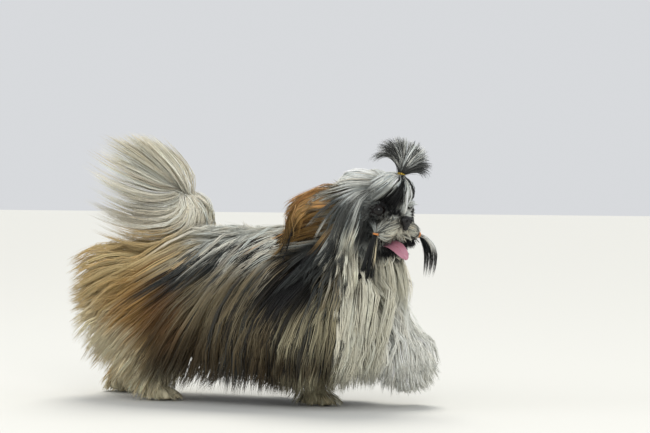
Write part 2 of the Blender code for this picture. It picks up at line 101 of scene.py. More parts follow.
soft_light("front_light", (2.6, -3.4, 2.4), 2.2, 68.0, (1.0, 0.99, 0.96))
soft_light("side_light", (-2.8, -2.2, 1.8), 2.2, 26.0, (0.96, 0.98, 1.0))
sky_data = bpy.data.lights.new("overhead_light", "SUN")
sky_data.energy = 2.3
sky_data.angle = math.radians(30)
sky_data.color = (1.0, 0.97, 0.90)
sky = bpy.data.objects.new("overhead_light", sky_data)
sky.rotation_euler = Vector((0.25, -0.55, -1.0)).to_track_quat("-Z", "Y").to_euler()
bpy.context.scene.collection.objects.link(sky)

floor_builder = bmesh.new()
bmesh.ops.create_grid(floor_builder, x_segments=1, y_segments=1, size=14.0)
floor_mesh = bpy.data.meshes.new("floor")
floor_builder.to_mesh(floor_mesh)
floor_builder.free()
floor = bpy.data.objects.new("floor", floor_mesh)
bpy.context.scene.collection.objects.link(floor)
floor_finish = bpy.data.materials.new("pale_floor")
floor_finish.use_nodes = True
floor_shader = floor_finish.node_tree.nodes["Principled BSDF"]
floor_shader.inputs["Base Color"].default_value = (0.62, 0.62, 0.59, 1.0)
floor_shader.inputs["Roughness"].default_value = 0.85
floor_mesh.materials.append(floor_finish)

# The places that the rest is built on.
# The head's own axes come from the two eyeballs of the frame, and the ties of the topknot and
# the moustache from their elastic bands.


def box_middle(node):
    low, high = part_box(node)
    return (np.array(low, float) + np.array(high, float)) / 2


EYE_FORWARD, EYE_ASIDE, EYE_UP = 0.0355, 0.030, -0.008
eye_places = {RIGHT: box_middle("eye_right"), LEFT: box_middle("eye_left")}
head_left = Vector(eye_places[LEFT] - eye_places[RIGHT])
head_left.z = 0.0
head_left.normalize()
head_forward = head_left.cross(Vector((0, 0, 1)))
head_axes = np.array([head_forward, head_left, (0, 0, 1)], float)
head_middle = (eye_places[LEFT] + eye_places[RIGHT]) / 2 - head_axes.T @ (EYE_FORWARD, 0.0, EYE_UP)


def on_head(points):
    """From the head's own axes (forward, left, up) to the model's."""
    return np.asarray(points, float) @ head_axes + head_middle


def to_head(points):
    return (np.asarray(points, float) - head_middle) @ head_axes.T


topknot_tie = box_middle("topknot_band")
moustache_ties = {RIGHT: box_middle("moustache_band_right"), LEFT: box_middle("moustache_band_left")}

# The colours of skin and coat.
# Each marking is a colour and a soft place on the body, in the model's axes or the head's. The
# coat's locks and the skin below them both take their colour from here.


def colour(red, green, blue):
    """A linear colour from the usual 0 to 255 values."""
    values = np.array((red, green, blue), float) / 255
    return np.where(values <= 0.04045, values / 12.92, ((values + 0.055) / 1.055) ** 2.4)


WHITE = colour(240, 240, 232)
CREAM = colour(226, 216, 184)
TAIL_CREAM = colour(236, 231, 214)
BEIGE = colour(206, 184, 136)
TAN = colour(184, 154, 98)
AMBER = colour(208, 162, 106)
GOLD = colour(156, 117, 64)
RUST = colour(104, 70, 34)
BROWN = colour(68, 55, 34)
TAUPE = colour(130, 118, 92)
SILVER = colour(206, 206, 196)
GREY = colour(150, 154, 148)
FROST = colour(226, 229, 224)
MILK = colour(230, 226, 208)
# Ivory of the bib: partly its creamier hair, partly painted shade.
SHADED_IVORY = colour(220, 217, 199)
ASH = colour(176, 168, 138)
SLATE = colour(58, 61, 60)
BLACK = colour(20, 20, 21)


def ramp(values, start, end):
    t = np.clip((values - start) / (end - start), 0.0, 1.0)
    return t * t * (3 - 2 * t)


def near(points, centre, radii):
    """One inside an ellipsoid, falling softly to nothing past its surface."""
    away = (((points - centre) / radii) ** 2).sum(axis=1)
    return np.exp(-away ** 2)


def unit(vectors):
    return vectors / np.maximum(np.linalg.norm(vectors, axis=-1, keepdims=True), 1e-9)


def along_stroke(places, start, end, width):
    """One inside a stroke with round ends, drawn on the dog's side, falling softly past its edge."""
    start, run = np.array(start), np.array(end) - start
    share = np.clip((places - start) @ run / (run @ run), 0, 1)
    away = np.linalg.norm(places - start - share[:, None] * run, axis=1) / width
    return np.exp(-away ** 4)


def laid(base, over, share):
    return base + (over - base) * share[:, None]


def body_markings(points):
    """The colour of the coat, and the share of dark locks in it, at each point."""
    x, y, z = points.T
    out = np.abs(y)
    side_view = np.column_stack([x, z])
    shade = np.tile(TAUPE, (len(points), 1))
    dark = np.full(len(points), 0.42)
    # The flank: silver along the back, and dark brown towards the hem.
    back = ramp(z, 0.180, 0.240)
    shade = laid(shade, SILVER, back)
    dark = dark - 0.10 * back - 0.16 * ramp(z, 0.244, 0.262)
    shade = laid(shade, BROWN, ramp(z, 0.150, 0.070) * 0.75)
    # The breeches: tan and cream behind, golden brown and rusty towards the flank.
    shade = laid(shade, TAN, ramp(x, -0.080, -0.150))
    dark = dark + (0.08 - dark) * ramp(x, -0.075, -0.150)
    for colour_of, start, end, width, strength, new_dark in (
            (BEIGE, (-0.090, 0.235), (-0.240, 0.215), 0.030, 0.8, 0.08),
            (GOLD, (-0.130, 0.165), (-0.160, 0.115), 0.045, 0.8, 0.10),
            (RUST, (-0.085, 0.165), (-0.085, 0.110), 0.035, 0.8, 0.25),
            (BROWN, (-0.030, 0.080), (-0.100, 0.050), 0.038, 0.8, 0.30),
            (CREAM, (-0.170, 0.070), (-0.260, 0.110), 0.042, 0.85, 0.03),
            (BEIGE, (-0.220, 0.160), (-0.290, 0.180), 0.030, 0.6, 0.10),
            (BLACK, (0.004, 0.222), (-0.070, 0.190), 0.019, 0.93, 0.85),
            (BLACK, (-0.070, 0.190), (-0.128, 0.170), 0.013, 0.75, 0.60),
            (TAN, (0.112, 0.235), (0.100, 0.160), 0.016, 0.7, 0.20),
            (BLACK, (0.202, 0.242), (0.122, 0.226), 0.019, 0.95, 1.0),
            (BLACK, (0.152, 0.205), (0.110, 0.162), 0.034, 0.97, 1.0),
            (ASH, (0.190, 0.130), (0.150, 0.100), 0.034, 0.85, 0.44),
            (BROWN, (0.140, 0.055), (0.100, 0.060), 0.030, 0.8, 0.35),
            (ASH, (0.185, 0.025), (0.130, 0.012), 0.026, 0.9, 0.12)):
        share = along_stroke(side_view, start, end, width) * strength
        shade = laid(shade, colour_of, share)
        dark = dark + (new_dark - dark) * share
    # The white bib, breast and lifted leg. Bib and breast are laid a darker ivory than the leg's white, partly their
    # creamier hair and partly painted shade.
    bib = ramp(x - 0.35 * out, 0.160, 0.185) * ramp(z, 0.31, 0.28)
    bib = np.maximum(bib, ramp(x, 0.210, 0.228) * ramp(z, 0.31, 0.28))
    raised = ramp(x, 0.19, 0.21) * ramp(y, -0.03, 0.00) * ramp(z, 0.16, 0.14)
    white = np.maximum(bib, raised)
    shade = laid(shade, SHADED_IVORY, white)
    shade = laid(shade, WHITE, raised)
    dark = dark * (1 - 0.97 * white)
    # Slate strands run down both sides of the bib.
    seam = along_stroke(side_view, (0.208, 0.235), (0.196, 0.060), 0.009) * ramp(out, 0.050, 0.070)
    shade = laid(shade, SLATE, 0.45 * seam)
    dark = dark + (0.72 - dark) * seam
    # Pale hind feet.
    lower = ramp(z, 0.045, 0.020) * ramp(x, -0.05, -0.11)
    shade = laid(shade, CREAM, lower)
    dark = dark * (1 - lower)
    # The plume of the tail: cream, darker taupe in its folds, partly the tan of the hair there and partly painted
    # shade, and painted shade towards its top.
    tail = ramp(z, 0.250, 0.275) * ramp(x, -0.050, -0.065)
    # Taupe along the fold: partly the hair's tan, partly painted shade.
    fold = along_stroke(side_view, (-0.150, 0.290), (-0.250, 0.285), 0.016)
    plume = laid(np.tile(TAIL_CREAM, (len(points), 1)), TAUPE, 0.50 * fold)
    # Painted shade: the top of the plume is darkened towards ash.
    plume = laid(plume, ASH, 0.45 * ramp(z, 0.350, 0.400))
    shade = laid(shade, plume, tail)
    dark = dark * (1 - tail)
    return shade, np.clip(dark, 0, 1)


def head_markings(points):
    """The same on the head, in the head's own axes."""
    forward, aside, up = points.T
    out = np.abs(aside)
    symmetric = np.column_stack([forward, out, up])
    shade = np.tile(FROST, (len(points), 1))
    dark = np.full(len(points), 0.18)
    # Grey over the cheeks and the back of the head.
    low = ramp(up, 0.015, -0.030)
    shade = laid(shade, GREY, 0.7 * low)
    dark = dark + 0.32 * low
    # Two dark stripes rise from the eyes and meet at the topknot's tie, beside a pale blaze.
    tie = to_head(topknot_tie[None])[0]
    slant = (aside - tie[1]) / np.maximum(tie[2] - up + 0.006, 0.004)
    right_stripe = ramp(slant, -0.17, -0.25) * ramp(slant, -1.10, -0.86)
    left_stripe = ramp(slant, 0.22, 0.34) * ramp(slant, 0.72, 0.50)
    stripe = np.maximum(right_stripe, left_stripe) * ramp(forward, 0.010, 0.022) * ramp(up, -0.016, -0.004)
    stripe = stripe * ramp(up, 0.050, 0.046)
    shade = laid(shade, BLACK, stripe)
    # Above the right eye the pale hair is grey at its root.
    over_eye = ramp(slant, -0.84, -0.98) * ramp(forward, 0.006, 0.018) * ramp(up, 0.036, 0.022)
    shade = laid(shade, GREY * 0.6, 0.85 * over_eye)
    # The mask round each eye, down to the moustache's tie.
    mask = near(symmetric, (0.032, 0.034, -0.014), (0.024, 0.022, 0.020))
    shade = laid(shade, BLACK, 0.95 * mask)
    cheek = near(symmetric, (0.014, 0.046, -0.046), (0.026, 0.024, 0.020))
    shade = laid(shade, BLACK, 0.96 * cheek)
    shade = laid(shade, SLATE, 0.75 * near(symmetric, (0.026, 0.040, -0.031), (0.015, 0.013, 0.013)))
    # The cream muzzle, the blaze and the black chin.
    muzzle = near(symmetric, (0.052, 0.012, -0.038), (0.023, 0.026, 0.020))
    shade = laid(shade, MILK * 0.8, muzzle)
    dark = dark + (0.30 - dark) * muzzle
    blaze = ramp(slant, -0.23, -0.13) * ramp(slant, 0.34, 0.22) * ramp(forward, 0.020, 0.032) * ramp(up, -0.022, -0.010)
    shade = laid(shade, FROST, blaze)
    dark = dark + (0.16 - dark) * blaze
    chin = near(symmetric, (0.036, 0.006, -0.078), (0.030, 0.030, 0.014))
    shade = laid(shade, BLACK, 0.97 * chin)
    throat = ramp(up, -0.082, -0.094) * ramp(forward, -0.01, 0.01)
    shade = laid(shade, MILK, throat)
    dark = dark * (1 - throat)
    return shade, np.clip(dark, 0, 1)


def ear_markings(points):
    """The ear's fringe: amber along its top, golden brown below, grey in front, and a black tip."""
    x, y, z = points.T
    shade = np.tile(laid(TAN[None], GOLD, np.array([0.55])), (len(points), 1))
    top = ramp(z - 0.35 * (x - 0.12), 0.282, 0.308)
    shade = laid(shade, AMBER, top)
    shade = laid(shade, GREY, 0.85 * ramp(x, 0.155, 0.190))
    dark = 0.40 - 0.30 * top
    tip = ramp(z + 0.15 * (x - 0.12), 0.262, 0.248)
    shade = laid(shade, BLACK, tip)
    return shade, dark * (1 - tip)


def markings(points):
    on_the_head = to_head(points)
    shade, dark = body_markings(points)
    head_shade, head_dark = head_markings(on_the_head)
    reach = np.sqrt((((on_the_head - (0.0, 0.0, -0.005)) / (0.078, 0.075, 0.088)) ** 2).sum(axis=1))
    share = ramp(reach, 1.12, 0.92)
    shade = laid(shade, head_shade, share)
    dark = dark + (head_dark - dark) * share
    # Slate and black run through the long hair over the ears.
    symmetric = np.column_stack([on_the_head[:, 0], np.abs(on_the_head[:, 1]), on_the_head[:, 2]])
    over_ear = near(symmetric, (-0.010, 0.080, -0.018), (0.024, 0.034, 0.036))
    shade = laid(shade, GREY, 0.7 * over_ear)
    dark = dark + (0.80 - dark) * over_ear
    # The left edge of the breast is streaked with slate.
    edge = near(points, (0.256, 0.050, 0.206), (0.022, 0.026, 0.036))
    return laid(shade, GREY, 0.4 * edge), dark + (0.70 - dark) * edge


# The skin.
# One closed skin for the whole dog: barrel, neck, skull, limbs, ear flaps and the bone of the
# tail, as masses fused into one. It lies under the coat, and shows only as lids, lips and soles.
SKIN_CELL = 0.0031

ball_builder = bmesh.new()
bmesh.ops.create_uvsphere(ball_builder, u_segments=24, v_segments=14, radius=1.0)
unit_ball = bpy.data.meshes.new("unit_ball")
ball_builder.to_mesh(unit_ball)
ball_builder.free()


def add_ball(builder, centre, radii, turned=False):
    """An ellipsoid, along the head's axes where turned is set."""
    place = Matrix.Translation(Vector(centre)) @ (
        Matrix(head_axes.T).to_4x4() if turned else Matrix.Identity(4))
    ball = unit_ball.copy()
    ball.transform(place @ Matrix.Diagonal((*radii, 1.0)))
    builder.from_mesh(ball)
    bpy.data.meshes.remove(ball)


def curve_through(rows, steps):
    """Rows read off a smooth curve that passes through the given rows."""
    rows = np.asarray(rows, float)
    padded = np.concatenate([2 * rows[:1] - rows[1:2], rows, 2 * rows[-1:] - rows[-2:-1]])
    places = np.linspace(0, len(rows) - 1, steps)
    starts = np.minimum(places.astype(int), len(rows) - 2)
    t = (places - starts).reshape(-1, *[1] * (rows.ndim - 1))
    before, first, last, after = (padded[starts + offset] for offset in range(4))
    return 0.5 * (2 * first + (last - before) * t
                  + (2 * before - 5 * first + 4 * last - after) * t ** 2
                  + (3 * first - before - 3 * last + after) * t ** 3)


def add_mass(builder, rows, steps, turned=False):
    for row in curve_through(rows, steps):
        centre = on_head(row[:3]) if turned else row[:3]
        radii = np.maximum(row[3:] if len(row) > 4 else np.repeat(row[3], 3), 0.0012)
        add_ball(builder, centre, radii, turned)


TAIL_BONE = [(-0.078, 0, 0.238, 0.012), (-0.086, 0, 0.275, 0.010),
             (-0.100, 0, 0.302, 0.008), (-0.112, 0, 0.318, 0.006), (-0.128, 0, 0.334, 0.004)]
FOOT_PLACES = {"fore_right": (0.135, -0.014), "hind_right": (-0.126, -0.052),
               "hind_left": (-0.254, 0.041)}

skin_builder = bmesh.new()
add_mass(skin_builder, [(-0.118, 0, 0.186, 0.045, 0.050, 0.056), (-0.040, 0, 0.192, 0.05, 0.060, 0.073),
                        (0.060, 0, 0.188, 0.05, 0.066, 0.078), (0.145, 0, 0.188, 0.05, 0.062, 0.080),
                        (0.190, 0, 0.172, 0.040, 0.050, 0.062)], 17)
add_mass(skin_builder, [(0.170, 0, 0.226, 0.050, 0.050, 0.046), (0.200, 0.002, 0.266, 0.046, 0.044, 0.046)], 7)
for side, knee, hock, foot in ((RIGHT, (-0.108, -0.060, 0.108), (-0.146, -0.056, 0.060), (-0.130, -0.052)),
                               (LEFT, (-0.158, 0.056, 0.112), (-0.225, 0.048, 0.066), (-0.262, 0.041))):
    add_mass(skin_builder, [(-0.120, side * 0.034, 0.180, 0.040), (*knee, 0.026), (*hock, 0.014),
                            (*foot, 0.020, 0.014)], 14)
add_mass(skin_builder, [(0.158, -0.040, 0.170, 0.032), (0.138, -0.046, 0.118, 0.022),
                        (0.130, -0.026, 0.060, 0.014), (0.129, -0.015, 0.020, 0.014)], 14)
add_mass(skin_builder, [(0.165, 0.040, 0.168, 0.032), (0.188, 0.050, 0.122, 0.021),
                        (0.250, 0.048, 0.100, 0.015), (0.262, 0.047, 0.066, 0.014)], 14)
for x, y in FOOT_PLACES.values():
    add_ball(skin_builder, (x + 0.002, y, 0.011), (0.026, 0.019, 0.0102))
    for spread in (-0.0125, -0.0045, 0.0045, 0.0125):
        reach = 0.024 if abs(spread) < 0.01 else 0.019
        add_ball(skin_builder, (x + reach, y + spread, 0.0078), (0.0085, 0.0052, 0.0073))
add_ball(skin_builder, (0.262, 0.047, 0.048), (0.014, 0.018, 0.020))
for spread in (-0.012, -0.004, 0.004, 0.012):
    add_ball(skin_builder, (0.258, 0.047 + spread, 0.031), (0.008, 0.005, 0.009))
add_mass(skin_builder, TAIL_BONE, 12)
for side in (RIGHT, LEFT):
    add_mass(skin_builder, [(-0.014, side * 0.046, 0.018, 0.018, 0.006, 0.014),
                            (-0.040, side * 0.059, 0.000, 0.022, 0.0044, 0.022),
                            (-0.058, side * 0.066, -0.026, 0.018, 0.0034, 0.020)], 7, True)
add_mass(skin_builder, [(-0.016, 0, 0.006, 0.042, 0.046, 0.042), (0.008, 0, 0.010, 0.036, 0.042, 0.034)], 3, True)
add_mass(skin_builder, [(-0.004, 0, -0.024, 0.040, 0.042, 0.036), (0.010, 0, -0.030, 0.034, 0.036, 0.030)], 3, True)
for side in (RIGHT, LEFT):
    add_ball(skin_builder, on_head((0.024, side * 0.030, -0.008)), (0.0165, 0.0175, 0.0165), True)
    add_ball(skin_builder, on_head((0.038, side * 0.010, -0.0345)), (0.0200, 0.0150, 0.0120), True)
    add_ball(skin_builder, on_head((0.030, side * 0.022, -0.0370)), (0.0180, 0.0140, 0.0130), True)
add_ball(skin_builder, on_head((0.046, 0, -0.0230)), (0.0175, 0.0090, 0.0078), True)
add_ball(skin_builder, on_head((0.030, 0, 0.004)), (0.0160, 0.0160, 0.0200), True)
add_mass(skin_builder, [(0.000, 0, -0.066, 0.030, 0.024, 0.014), (0.026, 0, -0.0725, 0.022, 0.0160, 0.0075),
                        (0.036, 0, -0.0725, 0.014, 0.0120, 0.0065)], 5, True)
skin_mesh = bpy.data.meshes.new("skin")
skin_builder.to_mesh(skin_mesh)
skin_builder.free()
skin = bpy.data.objects.new("skin", skin_mesh)
bpy.context.scene.collection.objects.link(skin)


def apply_modifiers(thing):
    bpy.context.view_layer.update()
    graph = bpy.context.evaluated_depsgraph_get()
    made = bpy.data.meshes.new_from_object(thing.evaluated_get(graph))
    thing.modifiers.clear()
    old = thing.data
    thing.data = made
    bpy.data.meshes.remove(old)
    made.name = thing.name


fuse = skin.modifiers.new("fuse", "REMESH")
fuse.mode = "VOXEL"
fuse.voxel_size = SKIN_CELL
settle = skin.modifiers.new("settle", "SMOOTH")
settle.factor = 0.5
settle.iterations = 3
apply_modifiers(skin)

# The lids are shaped on a finer mesh round the eyes.
EYEBALL = 0.0104
LID_HALF_WIDTH, LID_HALF_HEIGHT = 0.0087, 0.0058
LID_THICKNESS = 0.0010
eye_axes = {side: Vector(head_axes.T @ np.array((0.90, side * 0.42, 0.04))).normalized()
            for side in (RIGHT, LEFT)}
builder = bmesh.new()
builder.from_mesh(skin.data)
for _ in range(2):
    close = [edge for edge in builder.edges
             if any((edge.verts[0].co - Vector(eye_places[side])).length < 0.017 for side in (RIGHT, LEFT))]
    bmesh.ops.subdivide_edges(builder, edges=close, cuts=1, use_grid_fill=True)
bmesh.ops.triangulate(builder, faces=[face for face in builder.faces if len(face.verts) > 4])
for side in (RIGHT, LEFT):
    middle = Vector(eye_places[side])
    axis = eye_axes[side]
    across = Vector((0, 0, 1)).cross(axis).normalized()
    upward = axis.cross(across).normalized()
    for vertex in builder.verts:
        away = vertex.co - middle
        if away.length > 0.024 or away.dot(axis) < -0.001:
            continue
        way = away.normalized()
        reach = EYEBALL * math.hypot(way.dot(across) / LID_HALF_WIDTH, way.dot(upward) / LID_HALF_HEIGHT)
        if reach < 1.0:
            vertex.co = middle + way * (EYEBALL - 0.0016)
        else:
            off_axis = (away - axis * away.dot(axis)).length / EYEBALL
            blend = float(ramp(np.array(off_axis), 0.95, 1.7))
            over_ball = EYEBALL + LID_THICKNESS * min(1.0, (reach - 1.0) / 0.08)
            vertex.co = middle + way * (over_ball + (max(away.length, over_ball) - over_ball) * blend)
builder.to_mesh(skin.data)
builder.free()
skin.data.shade_smooth()

bpy.context.view_layer.objects.active = skin
skin.select_set(True)
bpy.ops.object.mode_set(mode="EDIT")
bpy.ops.mesh.select_all(action="SELECT")
bpy.ops.uv.smart_project(angle_limit=math.radians(66), island_margin=0.004)
bpy.ops.object.mode_set(mode="OBJECT")
skin.select_set(False)
skin.data.uv_layers[0].name = "OFBake"


def mesh_points(mesh):
    found = np.empty(len(mesh.vertices) * 3, np.float32)
    mesh.vertices.foreach_get("co", found)
    return found.reshape(-1, 3).astype(float)


def write_colour(mesh, values):
    layer = mesh.color_attributes.new("coat_colour", "FLOAT_COLOR", "POINT")
    rgba = np.ones((len(values), 4), np.float32)
    rgba[:, :3] = values
    layer.data.foreach_set("color", rgba.ravel())


SKIN_DARK = colour(44, 36, 34)
LIP_PINK = colour(120, 66, 66)
skin_points = mesh_points(skin.data)
skin_shade, skin_dark_share = markings(skin_points)
# Slate from the dark locks is laid into the skin, and the whole skin is painted a fifth darker as painted shade deep
# under the coat.
skin_shade = laid(skin_shade, SLATE, 0.5 * skin_dark_share) * 0.80
for side in (RIGHT, LEFT):
    close = np.linalg.norm(skin_points - eye_places[side], axis=1)
    skin_shade = laid(skin_shade, SKIN_DARK * 0.2, ramp(close, 0.0175, 0.0140))
skin_on_head = to_head(skin_points)
in_mouth = near(skin_on_head, (0.040, 0.0, -0.058), (0.030, 0.026, 0.012))
skin_shade = laid(skin_shade, SKIN_DARK, np.clip(in_mouth * 1.5, 0, 1))
skin_shade = laid(skin_shade, SKIN_DARK * 0.5, near(skin_on_head, (0.062, 0, -0.024), (0.014, 0.012, 0.012)))
soles = ramp(skin_points[:, 2], 0.004, 0.0015)
skin_shade = laid(skin_shade, SKIN_DARK, soles)
write_colour(skin.data, skin_shade)


def finish(name, roughness):
    """A new material with its shader's nodes, ready to be wired."""
    made = bpy.data.materials.new(name)
    made.use_nodes = True
    shader = made.node_tree.nodes["Principled BSDF"]
    shader.inputs["Roughness"].default_value = roughness
    return made, made.node_tree.nodes, made.node_tree.links, shader


skin_finish, nodes, links, shader = finish("dog_skin", 0.6)
stored = nodes.new("ShaderNodeAttribute")
stored.attribute_name = "coat_colour"
position = nodes.new("ShaderNodeTexCoord")
pores = nodes.new("ShaderNodeTexNoise")
pores.inputs["Scale"].default_value = 900.0
pores.inputs["Detail"].default_value = 3.0
links.new(position.outputs["Object"], pores.inputs["Vector"])
links.new(stored.outputs["Color"], shader.inputs["Base Color"])
relief = nodes.new("ShaderNodeBump")
relief.inputs["Strength"].default_value = 0.35
relief.inputs["Distance"].default_value = 0.0004
links.new(pores.outputs["Fac"], relief.inputs["Height"])
links.new(relief.outputs["Normal"], shader.inputs["Normal"])
shader.inputs["Specular IOR Level"].default_value = 0.15
skin.data.materials.append(skin_finish)
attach(skin, "root")
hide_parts("head", "muzzle", "chin", "ear_right", "ear_left", "neck", "chest", "trunk", "rump",
            "foreleg_right", "paw_fore_right", "foreleg_left", "paw_fore_left",
            "hindleg_right", "paw_hind_right", "hindleg_left", "paw_hind_left", "tail")

# The eyes.
# Large, dark and wet, each fixed in its socket behind the lids. The cornea stands a little proud
# of the ball, over a dark brown iris with a wide pupil.
CORNEA_RISE = 0.0004
CORNEA_REACH = math.radians(40)
for side, name, node in ((RIGHT, "glass_eye_right", "eye_right"), (LEFT, "glass_eye_left", "eye_left")):
    builder = bmesh.new()
    bmesh.ops.create_uvsphere(builder, u_segments=56, v_segments=36, radius=EYEBALL)
    for vertex in builder.verts:
        turn = vertex.co.angle(Vector((0, 0, 1)))
        if turn < CORNEA_REACH:
            vertex.co *= 1 + CORNEA_RISE / EYEBALL * math.cos(turn / CORNEA_REACH * math.pi / 2) ** 1.5
    turned = eye_axes[side].to_track_quat("Z", "Y").to_matrix().to_4x4()
    builder.transform(Matrix.Translation(Vector(eye_places[side])) @ turned)
    eye_mesh = bpy.data.meshes.new(name)
    builder.to_mesh(eye_mesh)
    builder.free()
    eye_mesh.shade_smooth()
    eye = bpy.data.objects.new(name, eye_mesh)
    bpy.context.scene.collection.objects.link(eye)
    eye_finish, nodes, links, shader = finish(name + "_wet", 0.12)
    front = Vector(eye_places[side]) + eye_axes[side] * EYEBALL
    position = nodes.new("ShaderNodeTexCoord")
    off_front = nodes.new("ShaderNodeVectorMath")
    off_front.operation = "DISTANCE"
    off_front.inputs[1].default_value = front
    links.new(position.outputs["Object"], off_front.inputs[0])
    fibres = nodes.new("ShaderNodeTexNoise")
    fibres.inputs["Scale"].default_value = 900.0
    links.new(position.outputs["Object"], fibres.inputs["Vector"])
    uneven = nodes.new("ShaderNodeMath")
    uneven.operation = "MULTIPLY_ADD"
    uneven.inputs[1].default_value = 0.0008
    links.new(fibres.outputs["Fac"], uneven.inputs[0])
    links.new(off_front.outputs["Value"], uneven.inputs[2])
    spread_out = nodes.new("ShaderNodeMapRange")
    spread_out.inputs["From Max"].default_value = 0.012
    links.new(uneven.outputs["Value"], spread_out.inputs["Value"])
    rings = nodes.new("ShaderNodeValToRGB")
    stops = ((0.00, (4, 4, 5)), (0.44, (5, 5, 5)), (0.50, (20, 13, 9)), (0.62, (15, 9, 7)),
             (0.68, (5, 4, 4)), (0.76, (14, 12, 11)), (1.00, (24, 20, 19)))
    for place, tint in stops[1:-1]:
        rings.color_ramp.elements.new(place).color = (*colour(*tint), 1.0)
    rings.color_ramp.elements[0].color = (*colour(*stops[0][1]), 1.0)
    rings.color_ramp.elements[-1].color = (*colour(*stops[-1][1]), 1.0)
    links.new(spread_out.outputs["Result"], rings.inputs["Fac"])
    links.new(rings.outputs["Color"], shader.inputs["Base Color"])
    shader.inputs["Specular IOR Level"].default_value = 0.0
    shader.inputs["Coat Weight"].default_value = 1.0
    shader.inputs["Coat IOR"].default_value = 1.38
    shader.inputs["Coat Roughness"].default_value = 0.03
    eye_mesh.materials.append(eye_finish)
    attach(eye, "root")
    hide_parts(node)

# The nose.
# A short, broad black leather with open nostrils, moist, set close below the eyes.
nose_builder = bmesh.new()
for forward, aside, up, radii in ((0.0640, 0.0, -0.0220, (0.0088, 0.0088, 0.0066)),
                                  (0.0664, 0.0046, -0.0226, (0.0062, 0.0046, 0.0056)),
                                  (0.0664, -0.0046, -0.0226, (0.0062, 0.0046, 0.0056)),
                                  (0.0650, 0.0, -0.0284, (0.0054, 0.0066, 0.0054)),
                                  (0.0632, 0.0, -0.0332, (0.0044, 0.0048, 0.0050))):
    add_ball(nose_builder, on_head((forward, aside, up)), radii, True)
nose_mesh = bpy.data.meshes.new("nose_leather")
nose_builder.to_mesh(nose_mesh)
nose_builder.free()
nose = bpy.data.objects.new("nose_leather", nose_mesh)
bpy.context.scene.collection.objects.link(nose)
fuse = nose.modifiers.new("fuse", "REMESH")
fuse.mode = "VOXEL"
fuse.voxel_size = 0.00050
settle = nose.modifiers.new("settle", "SMOOTH")
settle.factor = 0.5
settle.iterations = 4
apply_modifiers(nose)
for vertex in nose.data.vertices:
    forward, aside, up = to_head(np.array(vertex.co))
    out = abs(aside)
    pit = ((out - 0.0044) / 0.0019) ** 2 + ((up + 0.0236 - 0.25 * (out - 0.0044)) / 0.0017) ** 2
    slit = ((out - 0.0078) / 0.0024) ** 2 + ((up + 0.0252) / 0.0009) ** 2
    furrow = (aside / 0.0006) ** 2 + (max(up + 0.0215, 0) / 0.0014) ** 2
    depth = 0.0038 * math.exp(-pit ** 1.5) + 0.0012 * math.exp(-slit) + 0.0006 * math.exp(-furrow)
    if forward > 0.062:
        vertex.co -= head_forward * depth
nose.data.shade_smooth()
nose_finish, nodes, links, shader = finish("moist_black_leather", 0.34)
position = nodes.new("ShaderNodeTexCoord")
pebbles = nodes.new("ShaderNodeTexVoronoi")
pebbles.inputs["Scale"].default_value = 1300.0
links.new(position.outputs["Object"], pebbles.inputs["Vector"])
leather_tone = nodes.new("ShaderNodeValToRGB")
leather_tone.color_ramp.elements[0].color = (*colour(22, 21, 23), 1.0)
leather_tone.color_ramp.elements[1].color = (*colour(9, 9, 10), 1.0)
links.new(pebbles.outputs["Distance"], leather_tone.inputs["Fac"])
links.new(leather_tone.outputs["Color"], shader.inputs["Base Color"])
relief = nodes.new("ShaderNodeBump")
relief.invert = True
relief.inputs["Strength"].default_value = 0.5
relief.inputs["Distance"].default_value = 0.0003
links.new(pebbles.outputs["Distance"], relief.inputs["Height"])
links.new(relief.outputs["Normal"], shader.inputs["Normal"])
shader.inputs["Specular IOR Level"].default_value = 0.25
shader.inputs["Coat Weight"].default_value = 0.3
shader.inputs["Coat Roughness"].default_value = 0.2
nose.data.materials.append(nose_finish)
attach(nose, "root")
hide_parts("nose")

# The tongue.
# Moist pink muscle, that hangs out over the lower lip and curls down, with a groove along it.
TONGUE_LINE = ((0.018, -0.002, -0.0570, 0.0105), (0.034, -0.001, -0.0590, 0.0118),
               (0.046, 0.000, -0.0640, 0.0120), (0.0535, 0.001, -0.0700, 0.0108),
               (0.0580, 0.002, -0.0752, 0.0086), (0.0605, 0.003, -0.0785, 0.0050))
TONGUE_ROLL = math.radians(26)
tongue_builder = bmesh.new()
tongue_rows = curve_through(TONGUE_LINE, 26)
tongue_slopes = unit(np.gradient(tongue_rows[:, :3], axis=0))
for row, slope in zip(tongue_rows, tongue_slopes):
    tilt = Matrix.Rotation(math.atan2(-slope[2], slope[0]), 4, "Y")
    ball = unit_ball.copy()
    ball.transform(Matrix.Translation(Vector(on_head(row[:3]))) @ Matrix(head_axes.T).to_4x4()
                   @ Matrix.Rotation(TONGUE_ROLL, 4, "X") @ tilt
                   @ Matrix.Diagonal((0.0040, row[3], 0.0017, 1.0)))
    tongue_builder.from_mesh(ball)
    bpy.data.meshes.remove(ball)
tongue_mesh = bpy.data.meshes.new("soft_tongue")
tongue_builder.to_mesh(tongue_mesh)
tongue_builder.free()
tongue = bpy.data.objects.new("soft_tongue", tongue_mesh)
bpy.context.scene.collection.objects.link(tongue)
fuse = tongue.modifiers.new("fuse", "REMESH")
fuse.mode = "VOXEL"
fuse.voxel_size = 0.0007
settle = tongue.modifiers.new("settle", "SMOOTH")
settle.factor = 0.5
settle.iterations = 6
apply_modifiers(tongue)
tongue_across = np.array((0.0, math.cos(TONGUE_ROLL), math.sin(TONGUE_ROLL)))
